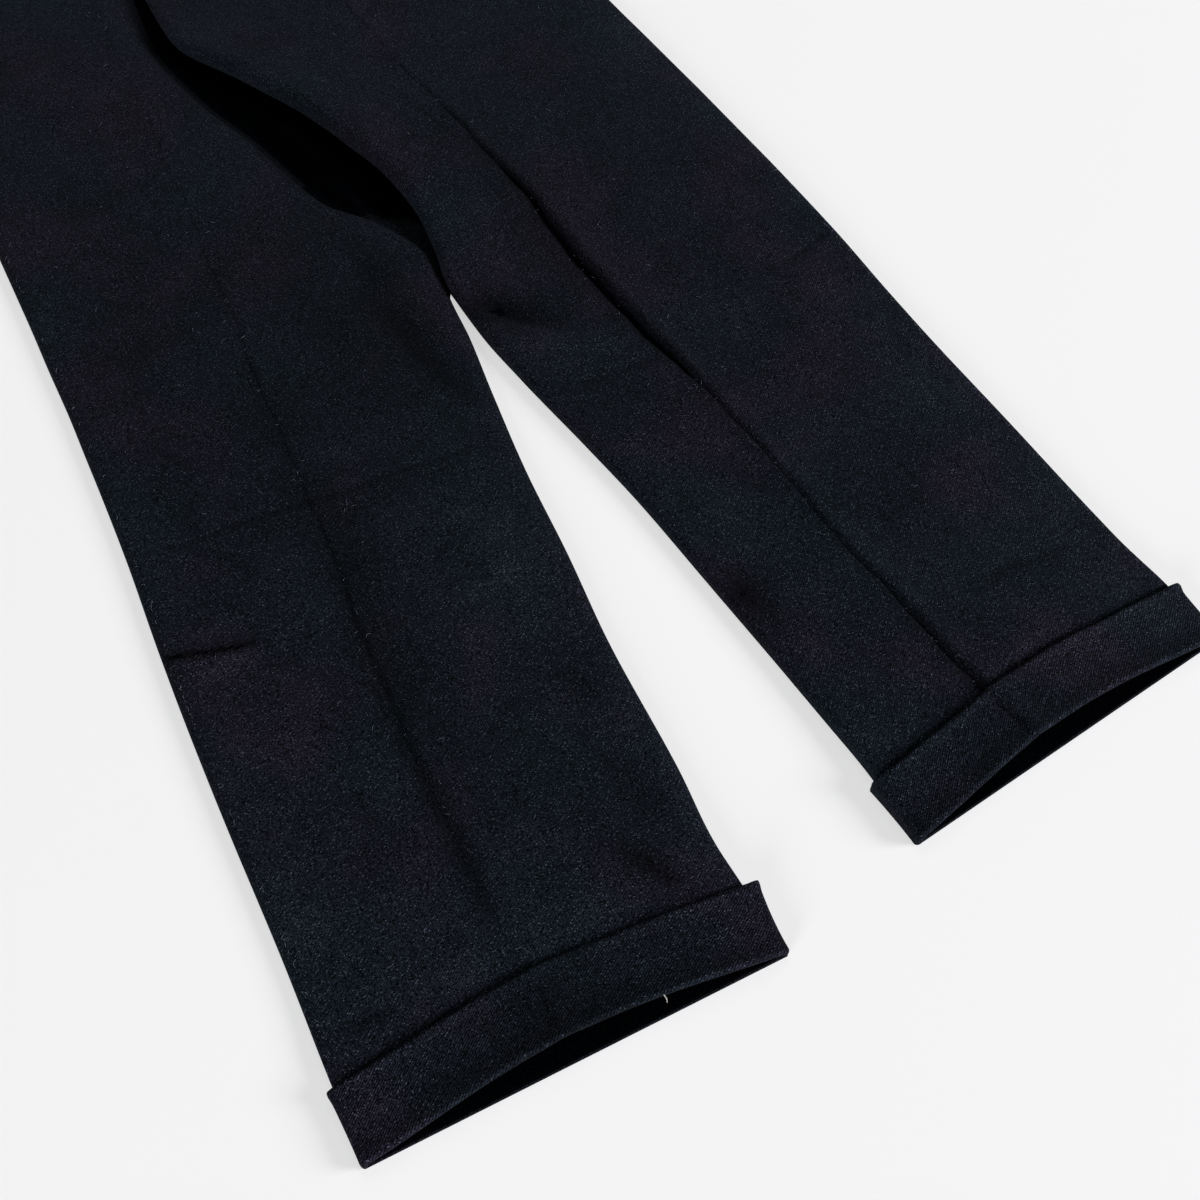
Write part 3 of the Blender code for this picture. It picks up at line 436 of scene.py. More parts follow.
# painted light and shade along soft strokes, in mm: darker strokes are painted shade in the folds, dents and
# creases, paler ones painted light on ridges and the legs' outer edges, with some dust there; points, share
# (below zero is darker), width, and the share of a paler rim
lightAndShadeStrokes = {
    "right": (
        (((-126, 500), (-132, 392), (-142, 300), (-158, 181), (-170, 104)), -0.32, 22),
        (((-222, 66), (-205, 62), (-188, 60)), 0.28, 12),
        (((-150, 58), (-132, 52), (-112, 52)), 0.24, 9),
        (((-140, 360), (-150, 290), (-166, 200)), -0.14, 12),
        (((-140, 230), (-120, 150), (-104, 84)), -0.20, 26),
        (((-72, 145), (-70, 104), (-76, 76)), -0.42, 14),
        (((-100, 84), (-89, 64), (-79, 42)), -0.72, 8),
        (((-56, 200), (-62, 178), (-68, 158)), -0.28, 10),
        (((-238, 152), (-222, 144), (-204, 138)), -0.24, 12),
        (((-182, 262), (-192, 236), (-196, 214)), -0.18, 11),
        (((-30, 520), (-24, 490), (-20, 452), (-16, 425), (-14, 396)), -0.66, 8.5),
        (((-22, 600), (-10, 540), (-4, 505)), -0.36, 15),
        (((-82, 590), (-66, 540), (-52, 470), (-44, 380)), -0.20, 34),
        (((-250, 397), (-214, 389), (-164, 382), (-112, 373), (-60, 366), (-10, 360)), -0.36, 2.2),
        (((-140, 366), (-90, 358), (-30, 350)), -0.17, 10),
        (((-268, 326), (-242, 313), (-221, 304), (-206, 300)), -1.30, 2.6, 0.10),
        (((-262, 302), (-238, 291), (-210, 278)), 0.34, 9),
        (((-233, 297), (-217, 287), (-194, 277)), -0.38, 2),
        (((-279, 76), (-258, 71), (-242, 68)), -0.49, 4),
        (((-256, 370), (-246, 470), (-238, 580), (-228, 720)), 0.34, 24),
        (((-276, 60), (-262, 160), (-246, 270)), 0.16, 26),
        (((-226, 330), (-222, 280), (-214, 240)), 0.13, 22),
        (((-104, 271), (-77, 268), (-46, 272)), 0.24, 10),
        (((-44, 330), (-52, 270), (-62, 230)), 0.26, 13),
        (((-216, 195), (-202, 162), (-186, 134)), -0.23, 9),
        (((-215, 560), (-190, 545), (-150, 548)), -0.20, 9),
        (((-205, 700), (-160, 690), (-120, 700)), -0.17, 12),
        (((-190, 880), (-150, 860), (-110, 868)), -0.20, 12),
    ),
    "left": (
        (((98, 600), (98, 500), (104, 410)), -0.22, 13),
        (((80, 690), (92, 640), (100, 600)), -0.23, 3),
        (((28, 476), (38, 460), (55, 445), (76, 430)), -0.72, 12.5),
        (((40, 470), (58, 458)), -0.20, 9),
        (((24, 434), (61, 416), (97, 386)), 0.21, 9),
        (((46, 374), (78, 367), (121, 359)), -0.38, 2.8),
        (((56, 192), (53, 180), (50, 168)), -0.30, 7),
        (((58, 354), (96, 342)), -0.23, 11),
        (((100, 264), (112, 244), (126, 222)), -0.29, 8),
        (((56, 200), (59, 154)), -0.60, 9),
        (((70, 300), (76, 240), (84, 190)), 0.16, 15),
        (((228, 385), (262, 392), (290, 401)), -0.41, 2.2),
        (((258, 330), (256, 230), (262, 140)), 0.16, 26),
        (((240, 480), (250, 420)), 0.13, 30),
        (((290, 440), (288, 560), (284, 760)), 0.34, 20),
        (((146, 54), (180, 54), (214, 54)), 0.22, 11),
        (((160, 250), (175, 180), (190, 110)), -0.14, 24),
        (((169, 112), (214, 107), (258, 99)), -0.23, 4),
        (((60, 690), (85, 650), (90, 600)), -0.14, 14),
        (((-16, 793), (30, 778), (69, 763)), -0.20, 8),
        (((150, 880), (200, 862), (250, 872)), -0.20, 12),
    ),
}

# how much paler or darker each front is along its length, palest towards the hems: y in mm, share
toneAlongLeg = {
    "right": ((0, 1.40), (100, 1.22), (200, 1.12), (300, 1.04), (400, 0.92), (500, 0.84), (620, 0.84),
              (760, 0.92), (1058, 0.95)),
    "left": ((0, 1.20), (100, 1.12), (200, 1.06), (300, 1.03), (400, 0.96), (500, 0.90), (620, 0.92),
             (760, 0.97), (1058, 0.97)),
}

rimShade = {                  # the leg is darker where it goes under the rim of its turn-up
    "share": 0.16,
    "y": 0.0432,
    "wide": 0.0020,
}


def strokes(table, x, y):  # sum of soft bells across each line, in the table's units, less at the line's ends
    total = np.zeros_like(x)
    for points, height, width, *rim in table:
        line = np.array(points) / 1000
        best = np.full_like(x, 9.0)
        place = np.zeros_like(x)
        count = len(line) - 1
        for number in range(count):
            a, d = line[number], line[number + 1] - line[number]
            held = np.clip(((x - a[0]) * d[0] + (y - a[1]) * d[1]) / (d @ d), 0, 1)
            away = np.hypot(x - a[0] - held * d[0], y - a[1] - held * d[1])
            place = np.where(away < best, (number + held) / count, place)
            best = np.minimum(best, away)
        taper = np.sqrt(np.clip(np.sin(math.pi * np.clip(place, 0.04, 0.96)), 0, 1))
        across = best * 1000 / width
        total += taper * (height * np.exp(-across ** 2) + sum(rim) * np.exp(-((across - 2.1) / 1.3) ** 2))
    return total


def foldHeight(side, x, y):
    return strokes(folds[side], x, y) / 1000


# tone of a front: the strokes' painted light and shade, painted shade under the turn-up's rim, and the tone
# along the leg
def legToneWithShade(side, x, y):  # 1 on plain cloth
    rim = rimShade["share"] * np.exp(-((y - rimShade["y"]) / rimShade["wide"]) ** 2)
    rim = rim * (0.70 + 0.40 * soft(x, y * 0, 6.0, 0.05))
    toneShift = readTable(toneAlongLeg[side], np.clip(y, 0, legs["waistTop"]).reshape(-1) * 1000)[0].reshape(y.shape)
    return np.clip(toneShift * (1 + strokes(lightAndShadeStrokes[side], x, y)), 0.16, 1.5) * (1 - np.clip(rim, 0, 0.6))


def creaseWander(y):  # a pressed crease is never quite straight
    return 0.0006 * np.sin(y * 61) + 0.0004 * np.sin(y * 143 + 1)


def creaseHeight(side, across, y):  # a soft ridge beyond the crease less a narrow groove on its near side
    ridge, ridgeWide, groove, grooveWide = [v / 1000 for v in readTable(creaseRows[side], y[:, 0] * 1000)]
    ridge, ridgeWide, groove, grooveWide = [v[:, None] for v in (ridge, ridgeWide, groove, grooveWide)]
    across = across - creaseWander(y)
    bell = ridge * np.exp(-((across - 0.35 * ridgeWide) / ridgeWide) ** 2)
    return bell - groove * np.exp(-((across + 0.5 * grooveWide) / grooveWide) ** 2)


def paintedCreaseShade(side, across, y):  # painted shade in the groove beside the crease, darker the deeper it is
    groove, wide = [v[:, None] / 1000 for v in readTable(creaseRows[side], y[:, 0] * 1000)[2:]]
    bell = np.exp(-((across - creaseWander(y) + 0.5 * wide) / (1.6 * wide)) ** 2)
    return np.clip(groove / 0.0038, 0, 0.85) * bell


def standHeight(y):
    return legs["stand"] + legs["hemStand"] * fadeOut(y, legs["rampStart"], legs["rampEnd"])


def raiseAtHem(y):  # the turn-up's outer layer lifts the leg off the surface
    return layer * fadeOut(y, legs["rampStart"], legs["rampEnd"])


def rollPoints(outer, inward, foot, rim, stand):  # the roll from a side seam up to the top of the edge
    start = foot + stand
    points = [(outer, foot), (outer, start)]
    for turn in np.radians((30, 60, 90)):
        reach = inward * legs["edgeRound"] * (1 - math.cos(turn))
        points.append((outer + reach, start + (rim - start) * math.sin(turn)))
    return points


def between(a, b, belly=0.2):  # the middle of two points, raised by a share of their difference in height
    return ((a[0] + b[0]) / 2, (a[1] + b[1]) / 2 + belly * np.abs(b[1] - a[1]))


def stackPoints(points, count):  # points whose parts are numbers or rows, as one array (row, point, 2)
    spread = [[np.broadcast_to(v, (count,)) for v in point] for point in points]
    return np.stack([np.stack(point, axis=-1) for point in spread], axis=1)


def rightSection(y):
    outer, rim, crease, top, lip, lipZ, fall, foot, seam, seamZ = readTable(rightRows, y)
    fall = np.minimum(fall, legs["hollowFall"])
    lift, stand = raiseAtHem(y), standHeight(y)
    cloth = garment["cloth"]
    roll = rollPoints(outer + cloth / 2, 1, cloth + garment["gap"] + lift, rim, stand)
    ridge, edge, end = (crease, top), (lip, lipZ), seam - layer / 2
    rest = [between(roll[-1], ridge), ridge, between(ridge, edge), edge]
    rest += [(lip + fall, foot), (end, seamZ + lift + stand), (end, seamZ + lift)]
    steps = [(1, 1), (3, 1), (3, 1), (3, 1), (9, 1), (21, -2.0), (21, 2.0), (11, 1), (7, 1), (14, 1), (1, 1)]
    return drawSection(stackPoints(roll + rest, len(y)), steps), outer, seam, crease


def leftSection(y):
    seam, seamZ, under, tuck, edgeX, mid, roll, rollZ, crease, top, outer, rim = readTable(leftRows, y)
    lift = raiseAtHem(y)
    cloth = garment["cloth"]
    start, edge = seam + layer / 2, edgeX + cloth / 2
    seamZ, under, mid = seamZ + lift, under + lift, mid + lift
    turn = edge + tuck
    inner = [(start, seamZ), (start, seamZ + 0.45 * (under - seamZ))]
    inner += [(start + 0.08 * (turn - start), seamZ + 0.92 * (under - seamZ)), (turn, under), (edge, mid)]
    inner.append((edge + 0.10 * roll, mid + 0.75 * (rollZ - mid)))
    shoulder, ridge = (edge + 0.50 * roll, rollZ), (crease, top)
    outside = rollPoints(outer - cloth / 2, -1, cloth + garment["gap"] + lift, rim, standHeight(y))[::-1]
    points = inner + [shoulder, between(shoulder, ridge, 0.0), ridge, between(ridge, outside[0])] + outside
    steps = [(1, 1), (1, 1), (1, 1), (4, 1), (5, 1), (5, 1), (8, 1), (21, -2.0), (21, 2.0), (13, 1)]
    steps += [(3, 1), (3, 1), (3, 1), (1, 1)]
    return drawSection(stackPoints(points, len(y)), steps), edgeX, outer, crease


upright = {"right": ((0, 1), (-1, -2)), "left": (tuple(range(8)), (-1, -2))}   # columns of the edges' walls
tucked = {"right": 0, "left": 17}     # columns of cloth that are folded back under the fly's edge


def layRow(side, y, x, low, high, front):  # y of each point: rows lean with the hem, and part in the middle
    middle = (low + high) / 2
    lean = legs["hemSlope"][side] * (x - middle) - legs["hemDrop"][side]
    placed = y + lean * fadeOut(y, 0.0, legs["slopeEnd"])
    share = np.clip((x - low) / (high - low), 0, 1)
    if front:
        back = legs["hemSetBack"] * np.maximum(0.0, 1 - y / legs["setBackFade"])
        placed = placed + back * np.sin(math.pi * share) ** legs["setBackPower"]
    waistLow, waistHigh = rightRows[-2][1], leftRows[-2][11]
    waist = np.clip((x - waistLow) / (waistHigh - waistLow), 0, 1)
    part = legs["frontDip"] if front else legs["backRise"]
    return placed + part * (1 - fadeOut(y, legs["waistFade"], legs["waistSeam"])) * np.sin(math.pi * waist)


def frontSheet(side, y):  # middle of the front's cloth, (row, column, 3)
    y = np.asarray(y, float)
    line, low, high, crease = rightSection(y) if side == "right" else leftSection(y)
    x, z = line[..., 0], line[..., 1].copy()
    low, high, crease, rows = low[:, None], high[:, None], crease[:, None], y[:, None]
    placed = layRow(side, rows, x, low, high, True)
    inside = np.minimum(x - low, high - x)
    weight = 1 - fadeOut(inside, 0.3 * legs["edgeRound"], 1.5 * legs["edgeRound"])
    weight[:, list(upright[side][0])] = 0.0
    z += weight * foldHeight(side, x, placed)
    z += weight * creaseHeight(side, x - crease, rows)
    z += weight * 0.00030 * soft(x, placed, 1.0 if side == "right" else 2.0, 0.060)
    return np.stack([x, placed, z], axis=-1)


hemEnd = layer
panelEnd = legs["waistSeam"] - garment["gap"] / 2
panelRows = np.arange(hemEnd, panelEnd, legs["rowStep"])[:-1]
extraRows = panelRows + legs["rowStep"] / 2           # twice as close where sharp creases cross the leg
crossed = [(extraRows > low) & (extraRows < high) for low, high in legs["closeRows"]]
panelRows = np.sort(np.concatenate([panelRows, extraRows[np.any(crossed, axis=0)], [panelEnd]]))


hollow = {                    # where the right front lies beside and under the fly no light falls
    "dark": 0.87,
    "lipAway": 0.0005,        # above the crotch the dark starts this far beyond the lip
    "edgeAway": 0.006,        # and below it this far from the left front's edge
    "crotch": (0.552, 0.592),
    "bottom": (0.470, 0.515),
    "top": (0.895, 0.955),
    "stages": ((0.62, -0.003, 0.006), (0.38, 0.003, 0.018)),     # share, first and last place from the start
    "folds": (                # which catch a little light: place from the edge, width, low y, high y
        (0.014, 0.0028, 0.600, 0.740), (0.026, 0.0034, 0.560, 0.640)),
    "foldLight": 0.22,
}


def hollowShade(grid):  # 1 on lit cloth, nearly 0 deep in the hollow
    lip, edge = readTable(rightRows, panelRows)[4], readTable(leftRows, panelRows)[4]
    down = fadeOut(panelRows, *hollow["crotch"])
    start = ((1 - down) * (lip - hollow["lipAway"]) + down * (edge - hollow["edgeAway"]))[:, None]
    deep = sum(share * (1 - fadeOut(grid[..., 0], start + first, start + last))
               for share, first, last in hollow["stages"])
    along = fadeOut(panelRows, *hollow["top"]) * (1 - fadeOut(panelRows, *hollow["bottom"]))
    turned = 0
    for away, wide, low, high in hollow["folds"]:
        here = fadeOut(np.abs(panelRows - (low + high) / 2), (high - low) / 4, (high - low) / 2)[:, None]
        turned = turned + here * np.exp(-((grid[..., 0] - edge[:, None] + away) / wide) ** 2)
    return 1 - (hollow["dark"] - hollow["foldLight"] * turned) * deep * along[:, None]


def makeFront(side, name):
    grid = frontSheet(side, panelRows)
    crease = readTable(rightRows if side == "right" else leftRows, panelRows)[2 if side == "right" else 8]
    tone = legToneWithShade(side, grid[..., 0], grid[..., 1])
    tone = tone * (1 - paintedCreaseShade(side, grid[..., 0] - crease[:, None], panelRows[:, None]))
    if side == "right":
        tone = tone * hollowShade(grid)
    piece = giveWall(meshFromGrid(name, grid, tone, (legWool, shadedWool)), garment["cloth"])
    declareCloth(piece, ["front_" + side])


def backLimits(side, y):  # above the crotch the two backs are sewn edge to edge
    seat = readTable(seatRows, np.clip(y, seatRows[0][0], None))[0]
    apart = np.where(y < seatRows[0][0], garment["gap"] / 2, 0.00003)
    if side == "right":
        columns = readTable(rightRows, y)
        return columns[0], np.where(y < seatRows[0][0], columns[8], seat) - apart
    columns = readTable(leftRows, y)
    return np.where(y < seatRows[0][0], columns[0], seat) + apart, columns[10]


def makeBack(side, name):  # flat on the surface, with the pressed crease as a fine groove
    y = panelRows[::2]
    y = np.append(y[:-1], panelRows[-1])
    low, high = backLimits(side, y)
    share = np.linspace(0, 1, 61)[None]
    x = low[:, None] + share * (high - low)[:, None]
    z = np.full_like(x, garment["cloth"] / 2) + raiseAtHem(y)[:, None]
    crease = low + (0.46 if side == "right" else 0.54) * (high - low)
    z = z + 0.00035 * np.exp(-((x - crease[:, None]) / 0.0035) ** 2)
    grid = np.stack([x, layRow(side, y[:, None], x, low[:, None], high[:, None], False), z], axis=-1)
    # painted shade along the groove of the crease
    tone = 1 - 0.2 * np.exp(-((x - crease[:, None]) / 0.003) ** 2)
    piece = giveWall(meshFromGrid(name, grid, tone, (legWool,)), garment["cloth"])
    declareCloth(piece, ["back_" + side])


for side in ("right", "left"):
    makeFront(side, side + "Front")
    makeBack(side, side + "Back")
print("legs made")


turnUps = {
    "foldRise": 0.0009,       # the fold lies off the surface by this
    "flarePower": 1.5,
    "flare": {"right": (0.0015, 0.0065), "left": (0.0030, 0.0030)},   # at the low x edge, at the high x edge
    "topLift": 0.0012,        # how far the top edge stands off the leg at its most
    "rimLift": 0.0022,        # the rolled rim stands out by this more
    "rimAt": 0.93,            # its place between the fold and the top
    # painted highlight along the rolled rim
    "rimHighlight": 0.16,
    "insideTone": 0.12,       # no light falls inside the mouth
    "roll": 0.0080,           # the cloth rolls down towards its fold, and painted shade darkens it here
    "rollShade": 0.38,
    "toneShift": 0.28,             # the fold itself is paler
}

# painted light and shade along each turn-up, darker where its cloth turns away from the light: x in mm, share
turnUpLightAndShade = {
    "right": ((-300, 1.32), (-265, 1.40), (-238, 1.26), (-216, 1.00), (-190, 0.76), (-172, 0.72),
              (-150, 0.90), (-120, 1.12), (-95, 1.28), (-50, 1.32)),
    "left": ((40, 1.08), (80, 1.20), (112, 1.18), (132, 1.04), (150, 1.14), (200, 1.28), (240, 1.32),
             (290, 1.20)),
}

turnUpDents = {               # as folds, on the outside of the turn-ups
    "right": ((((-176, 37), (-177, 27), (-182, 9)), -0.9, 2.4, 0.5),
              (((-250, 30), (-246, 12)), -0.5, 4.0, 0.2), (((-110, 34), (-104, 14)), -0.6, 5.0, 0.2)),
    "left": ((((132, 36), (136, 12)), -0.8, 3.5, 0.4), (((200, 34), (206, 12)), -0.5, 5.0, 0.2)),
}


def turnUpPath():  # (y, side of the leg's cloth, reach below its end, share of the flare, tone with its painted shade and highlight)
    depth, inside = legs["turnUpDepth"], legs["hemInside"]
    outY = np.linspace(depth, hemEnd, 20)
    share = ((outY - hemEnd) / (depth - hemEnd)) ** turnUps["flarePower"]
    turn = np.radians(np.linspace(0, 180, 11)[1:-1])
    inY = np.linspace(hemEnd, inside, 12)
    rolled = 1 - turnUps["rollShade"] * np.exp(-((outY - hemEnd - 0.003) / turnUps["roll"]) ** 2)
    rolled += turnUps["rimHighlight"] * np.exp(-((share - turnUps["rimAt"]) / 0.06) ** 2)
    foldTone = 1 + turnUps["toneShift"] * np.exp(-((np.degrees(turn) - 48) / 26) ** 2)
    inside = turnUps["insideTone"]
    foldTone = inside + (foldTone - inside) * fadeOut(np.degrees(turn), 95, 150)
    tone = np.concatenate([rolled, foldTone, np.full(len(inY), inside)])
    y = np.concatenate([outY, np.full(len(turn), hemEnd), inY])
    out = np.concatenate([np.ones(len(outY)), np.cos(turn), -np.ones(len(inY))])
    reach = np.concatenate([np.zeros(len(outY)), np.sin(turn), np.zeros(len(inY))])
    return y, out, reach, np.concatenate([share, np.zeros(len(turn) + len(inY))]), tone


def unit(vectors):
    return vectors / np.maximum(np.linalg.norm(vectors, axis=-1, keepdims=True), 1e-12)


def turnUpFrontGrid(side):  # the leg's own surface moved out by a layer, round the fold, and in by a layer
    y, out, reach, share, tone = turnUpPath()
    middle, above = frontSheet(side, y), frontSheet(side, y + 0.001)
    up = unit(above - middle)
    step = unit(np.diff(middle, axis=1))
    along = np.concatenate([step[:, :1], (step[:, :-1] + step[:, 1:]) / 2, step[:, -1:]], axis=1)
    normal = unit(np.cross(along, up)) / np.linalg.norm(along, axis=2, keepdims=True)
    for columns, way in zip(upright[side], (-1.0, 1.0)):
        normal[:, list(columns[:-1])] = (way, 0.0, 0.0)
    lowFlare, highFlare = turnUps["flare"][side]
    sideways = np.where(normal[..., 0] < 0, lowFlare, highFlare) * normal[..., 0] ** 2
    x = middle[..., 0]
    wave = 0.55 + 0.45 * soft(x, x * 0, 5.0 if side == "right" else 7.0, 0.09)
    rim = turnUps["rimLift"] * np.exp(-((share - turnUps["rimAt"]) / 0.10) ** 2)
    lift = (turnUps["topLift"] * (share[:, None] ** 2) * wave + rim[:, None]) * np.clip(normal[..., 2], 0, 1)
    offset = (layer * out)[:, None] + share[:, None] * sideways + lift
    grid = middle + normal * offset[..., None] - up * (layer * reach)[:, None, None]
    grid[..., 1] += 0.0006 * soft(x, x * 0, 3.0, 0.045) * (share[:, None] > 0.9)
    endZ = layer + layer * (1 - out) + turnUps["foldRise"] * reach
    for columns in upright[side]:
        columns = list(columns)
        z = grid[:, columns, 2].copy()
        first, last = z[:, :1], z[:, -1:]
        grid[:, columns, 2] = endZ[:, None] + (z - first) * (last - endZ[:, None]) / (last - first)
    outside = (out > 0.99) * (1 - fadeOut(y, 0.004, 0.012))
    dents = strokes(turnUpDents[side], grid[..., 0], grid[..., 1]) * outside[:, None]
    grid[..., 2] += dents / 1000
    uneven = np.clip(1 + 0.60 * soft(x, x * 0, 4.0, 0.03), 0, 2)
    # painted shade in the dents; below, the painted light and shade along each turn-up
    tone = 1 + (tone[:, None] - 1) * np.where(tone[:, None] > 1, uneven, 1) + 0.45 * np.minimum(dents, 0)
    tone = tone * readTable(turnUpLightAndShade[side], x.reshape(-1) * 1000)[0].reshape(x.shape)
    return grid[::-1], tone[::-1]


def turnUpBackGrid(side):  # flat layers under and over the end of the back
    y, out, reach, share, tone = turnUpPath()
    low, high = backLimits(side, y)
    lowFlare, highFlare = turnUps["flare"][side]
    further = layer * out - garment["gap"] * reach
    start, end = low - further - share * lowFlare, high + further + share * highFlare
    x = start[:, None] + np.linspace(0, 1, 61)[None] * (end - start)[:, None]
    placed = layRow(side, y[:, None], x, low[:, None], high[:, None], False) - (layer * reach)[:, None]
    z = np.broadcast_to((garment["cloth"] / 2 + layer * (1 - out))[:, None], x.shape)
    return np.stack([x, placed, z], axis=-1), np.broadcast_to(tone[:, None], x.shape)


for side in ("right", "left"):
    for half, (grid, tone) in (("Front", turnUpFrontGrid(side)), ("Back", turnUpBackGrid(side))):
        name = side + "TurnUp" + half
        piece = giveWall(meshFromGrid(name, grid, tone, (cuffWool, shadedWool)), garment["cloth"])
        node = "turnup_" + half.lower() + "_" + side
        declareCloth(piece, [node])
print("turn-ups made")


band = {
    "underlap": 0.038,        # the right end lies this far under the left one
    "lift": 0.0042,           # height of the left end above the right one, and what it rises to
    "lapRise": 0.0007,
}
bandRows = np.linspace(legs["waistSeam"] + garment["gap"] / 2, legs["waistTop"], 15)


def bandFrontGrid(side):
    y = bandRows
    outer, rim, crease, top, lip, lipZ, fall, foot, seam, seamZ = readTable(rightRows, y)
    left = readTable(leftRows, y)
    edgeX, leftCrease, leftTop, leftOuter, leftRim = left[4], left[8], left[9], left[10], left[11]
    footZ, cloth = garment["bandCloth"] + garment["gap"], garment["cloth"]
    if side == "right":
        roll = rollPoints(outer + cloth / 2, 1, footZ, rim, legs["stand"])
        ridge, flat = (crease, top), (edgeX - legs["edgeRound"], foot)
        end = (edgeX + band["underlap"], foot)
        points = roll + [between(roll[-1], ridge), ridge, between(ridge, flat, 0.0), flat, end]
        steps = [(1, 1), (3, 1), (3, 1), (3, 1), (6, 1), (8, 1), (6, 1), (5, 1), (12, 1)]
    else:
        roll = rollPoints(leftOuter - cloth / 2, -1, footZ, leftRim, legs["stand"])[::-1]
        end = (edgeX + cloth / 2, foot + band["lift"])
        flat = (edgeX + band["underlap"], foot + band["lift"] + band["lapRise"])
        ridge = (leftCrease, leftTop)
        points = [end, flat, between(flat, ridge, 0.0), ridge, between(ridge, roll[0])] + roll
        steps = [(12, 1), (7, 1), (7, 1), (9, 1), (7, 1), (3, 1), (3, 1), (3, 1), (1, 1)]
    line = drawSection(stackPoints(points, len(y)), steps)
    x, z = line[..., 0], line[..., 1]
    placed = layRow(side, y[:, None], x, outer[:, None], leftOuter[:, None], True)
    return np.stack([x, placed, z], axis=-1)


def bandBackGrid(side):
    y = bandRows
    low, high = backLimits(side, y)
    x = low[:, None] + np.linspace(0, 1, 41)[None] * (high - low)[:, None]
    z = np.full_like(x, garment["bandCloth"] / 2)
    return np.stack([x, layRow(side, y[:, None], x, low[:, None], high[:, None], False), z], axis=-1)


for side in ("right", "left"):
    for half, grid in (("Front", bandFrontGrid(side)), ("Back", bandBackGrid(side))):
        piece = giveWall(meshFromGrid(side + "Band" + half, grid, None, (legWool,)), garment["bandCloth"])
        declareCloth(piece, ["waistband_" + half.lower() + "_" + side])
print("waistband made")


sewing = {
    "stitch": 0.0026,
    "stitchGap": 0.0009,
    "thread": 0.00024,        # half the thickness of the thread
    "flyLine": (              # y, place from the left front's edge
        (1.012, 0.036), (0.930, 0.036), (0.885, 0.033), (0.858, 0.023), (0.844, 0.009)),
    "buttonhole": 0.022,
    "buttonholeStitches": 72,
    "buttonholeWide": 0.0030,
    "buttonInset": 0.016,
    "holeSpread": 0.0015,
    "colour": "#12151c",
}


def makeThread(name, colour, twist=0.0008):
    # spun cotton: dull, with a fine twist along it
    material, tree, shader = startMaterial(name)
    spot = addNode(tree, "ShaderNodeTexCoord").outputs["Object"]
    plies = addNode(tree, "ShaderNodeTexNoise", {"Vector": spot, "Scale": 1 / twist, "Detail": 2.0})
    tone = addNode(tree, "ShaderNodeMapRange", {
        "Value": plies, "From Min": 0.3, "From Max": 0.7, "To Min": 0.6, "To Max": 1.3})
    mixed = addNode(tree, "ShaderNodeMix", {0: 1.0, 6: linear(colour), 7: tone},
                    data_type="RGBA", blend_type="MULTIPLY")
    tree.links.new(mixed.outputs[2], shader.inputs["Base Color"])
    bump = addNode(tree, "ShaderNodeBump", {"Strength": 0.5, "Distance": 0.0001, "Height": plies})
    tree.links.new(bump.outputs["Normal"], shader.inputs["Normal"])
    shader.inputs["Roughness"].default_value = 0.75
    shader.inputs["Specular IOR Level"].default_value = 0.25
    return material


def meshFromTubes(name, paths, radius, sides, material):  # a round section along each path, with closed ends
    points, faces, first = [], [], 0
    turn = np.arange(sides) * 2 * math.pi / sides
    for path in paths:
        path = np.asarray(path, float)
        ahead = unit(np.gradient(path, axis=0))
        sideways = unit(np.cross(ahead, np.where(np.abs(ahead[:, 2:]) > 0.9, [[1.0, 0, 0]], [[0, 0, 1.0]])))
        upwards = np.cross(sideways, ahead)
        ring = np.cos(turn)[:, None] * sideways[:, None] + np.sin(turn)[:, None] * upwards[:, None]
        thick = radius * np.concatenate([[0.6], np.ones(len(path) - 2), [0.6]])
        points.append((path[:, None] + ring * thick[:, None, None]).reshape(-1, 3))
        index = first + np.arange(len(path) * sides).reshape(len(path), sides)
        after = np.roll(index, -1, axis=1)
        sidesOf = np.stack([index[1:], after[1:], after[:-1], index[:-1]], axis=-1)
        faces += sidesOf.reshape(-1, 4).tolist()
        faces += [index[0].tolist(), index[-1][::-1].tolist()]
        first += len(path) * sides
    points = np.concatenate(points) + np.array([garment["shiftX"], garment["shiftY"], 0.0])
    mesh = bpy.data.meshes.new(name)
    mesh.from_pydata(points.tolist(), [], faces)
    mesh.polygons.foreach_set("use_smooth", np.ones(len(mesh.polygons), dtype=bool))
    mesh.materials.append(material)
    piece = bpy.data.objects.new(name, mesh)
    bpy.context.scene.collection.objects.link(piece)
    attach(piece, "root")
    return piece


def onCloth(grid, x, y):  # height of the middle of the cloth at (x, y), on a grid whose x grows in each row
    rows = np.abs(grid[:, grid.shape[1] // 2, 1][None] - np.asarray(y)[:, None]).argmin(axis=1)
    return np.array([np.interp(px, grid[row, :, 0], grid[row, :, 2]) for px, row in zip(x, rows)])


def evenly(line, step):  # points at even steps along a bent line
    line = np.asarray(line, float)
    gone = np.concatenate([[0], np.cumsum(np.linalg.norm(np.diff(line, axis=0), axis=1))])
    at = np.arange(step / 2, gone[-1], step)
    return np.stack([np.interp(at, gone, line[:, k]) for k in (0, 1)], axis=-1)


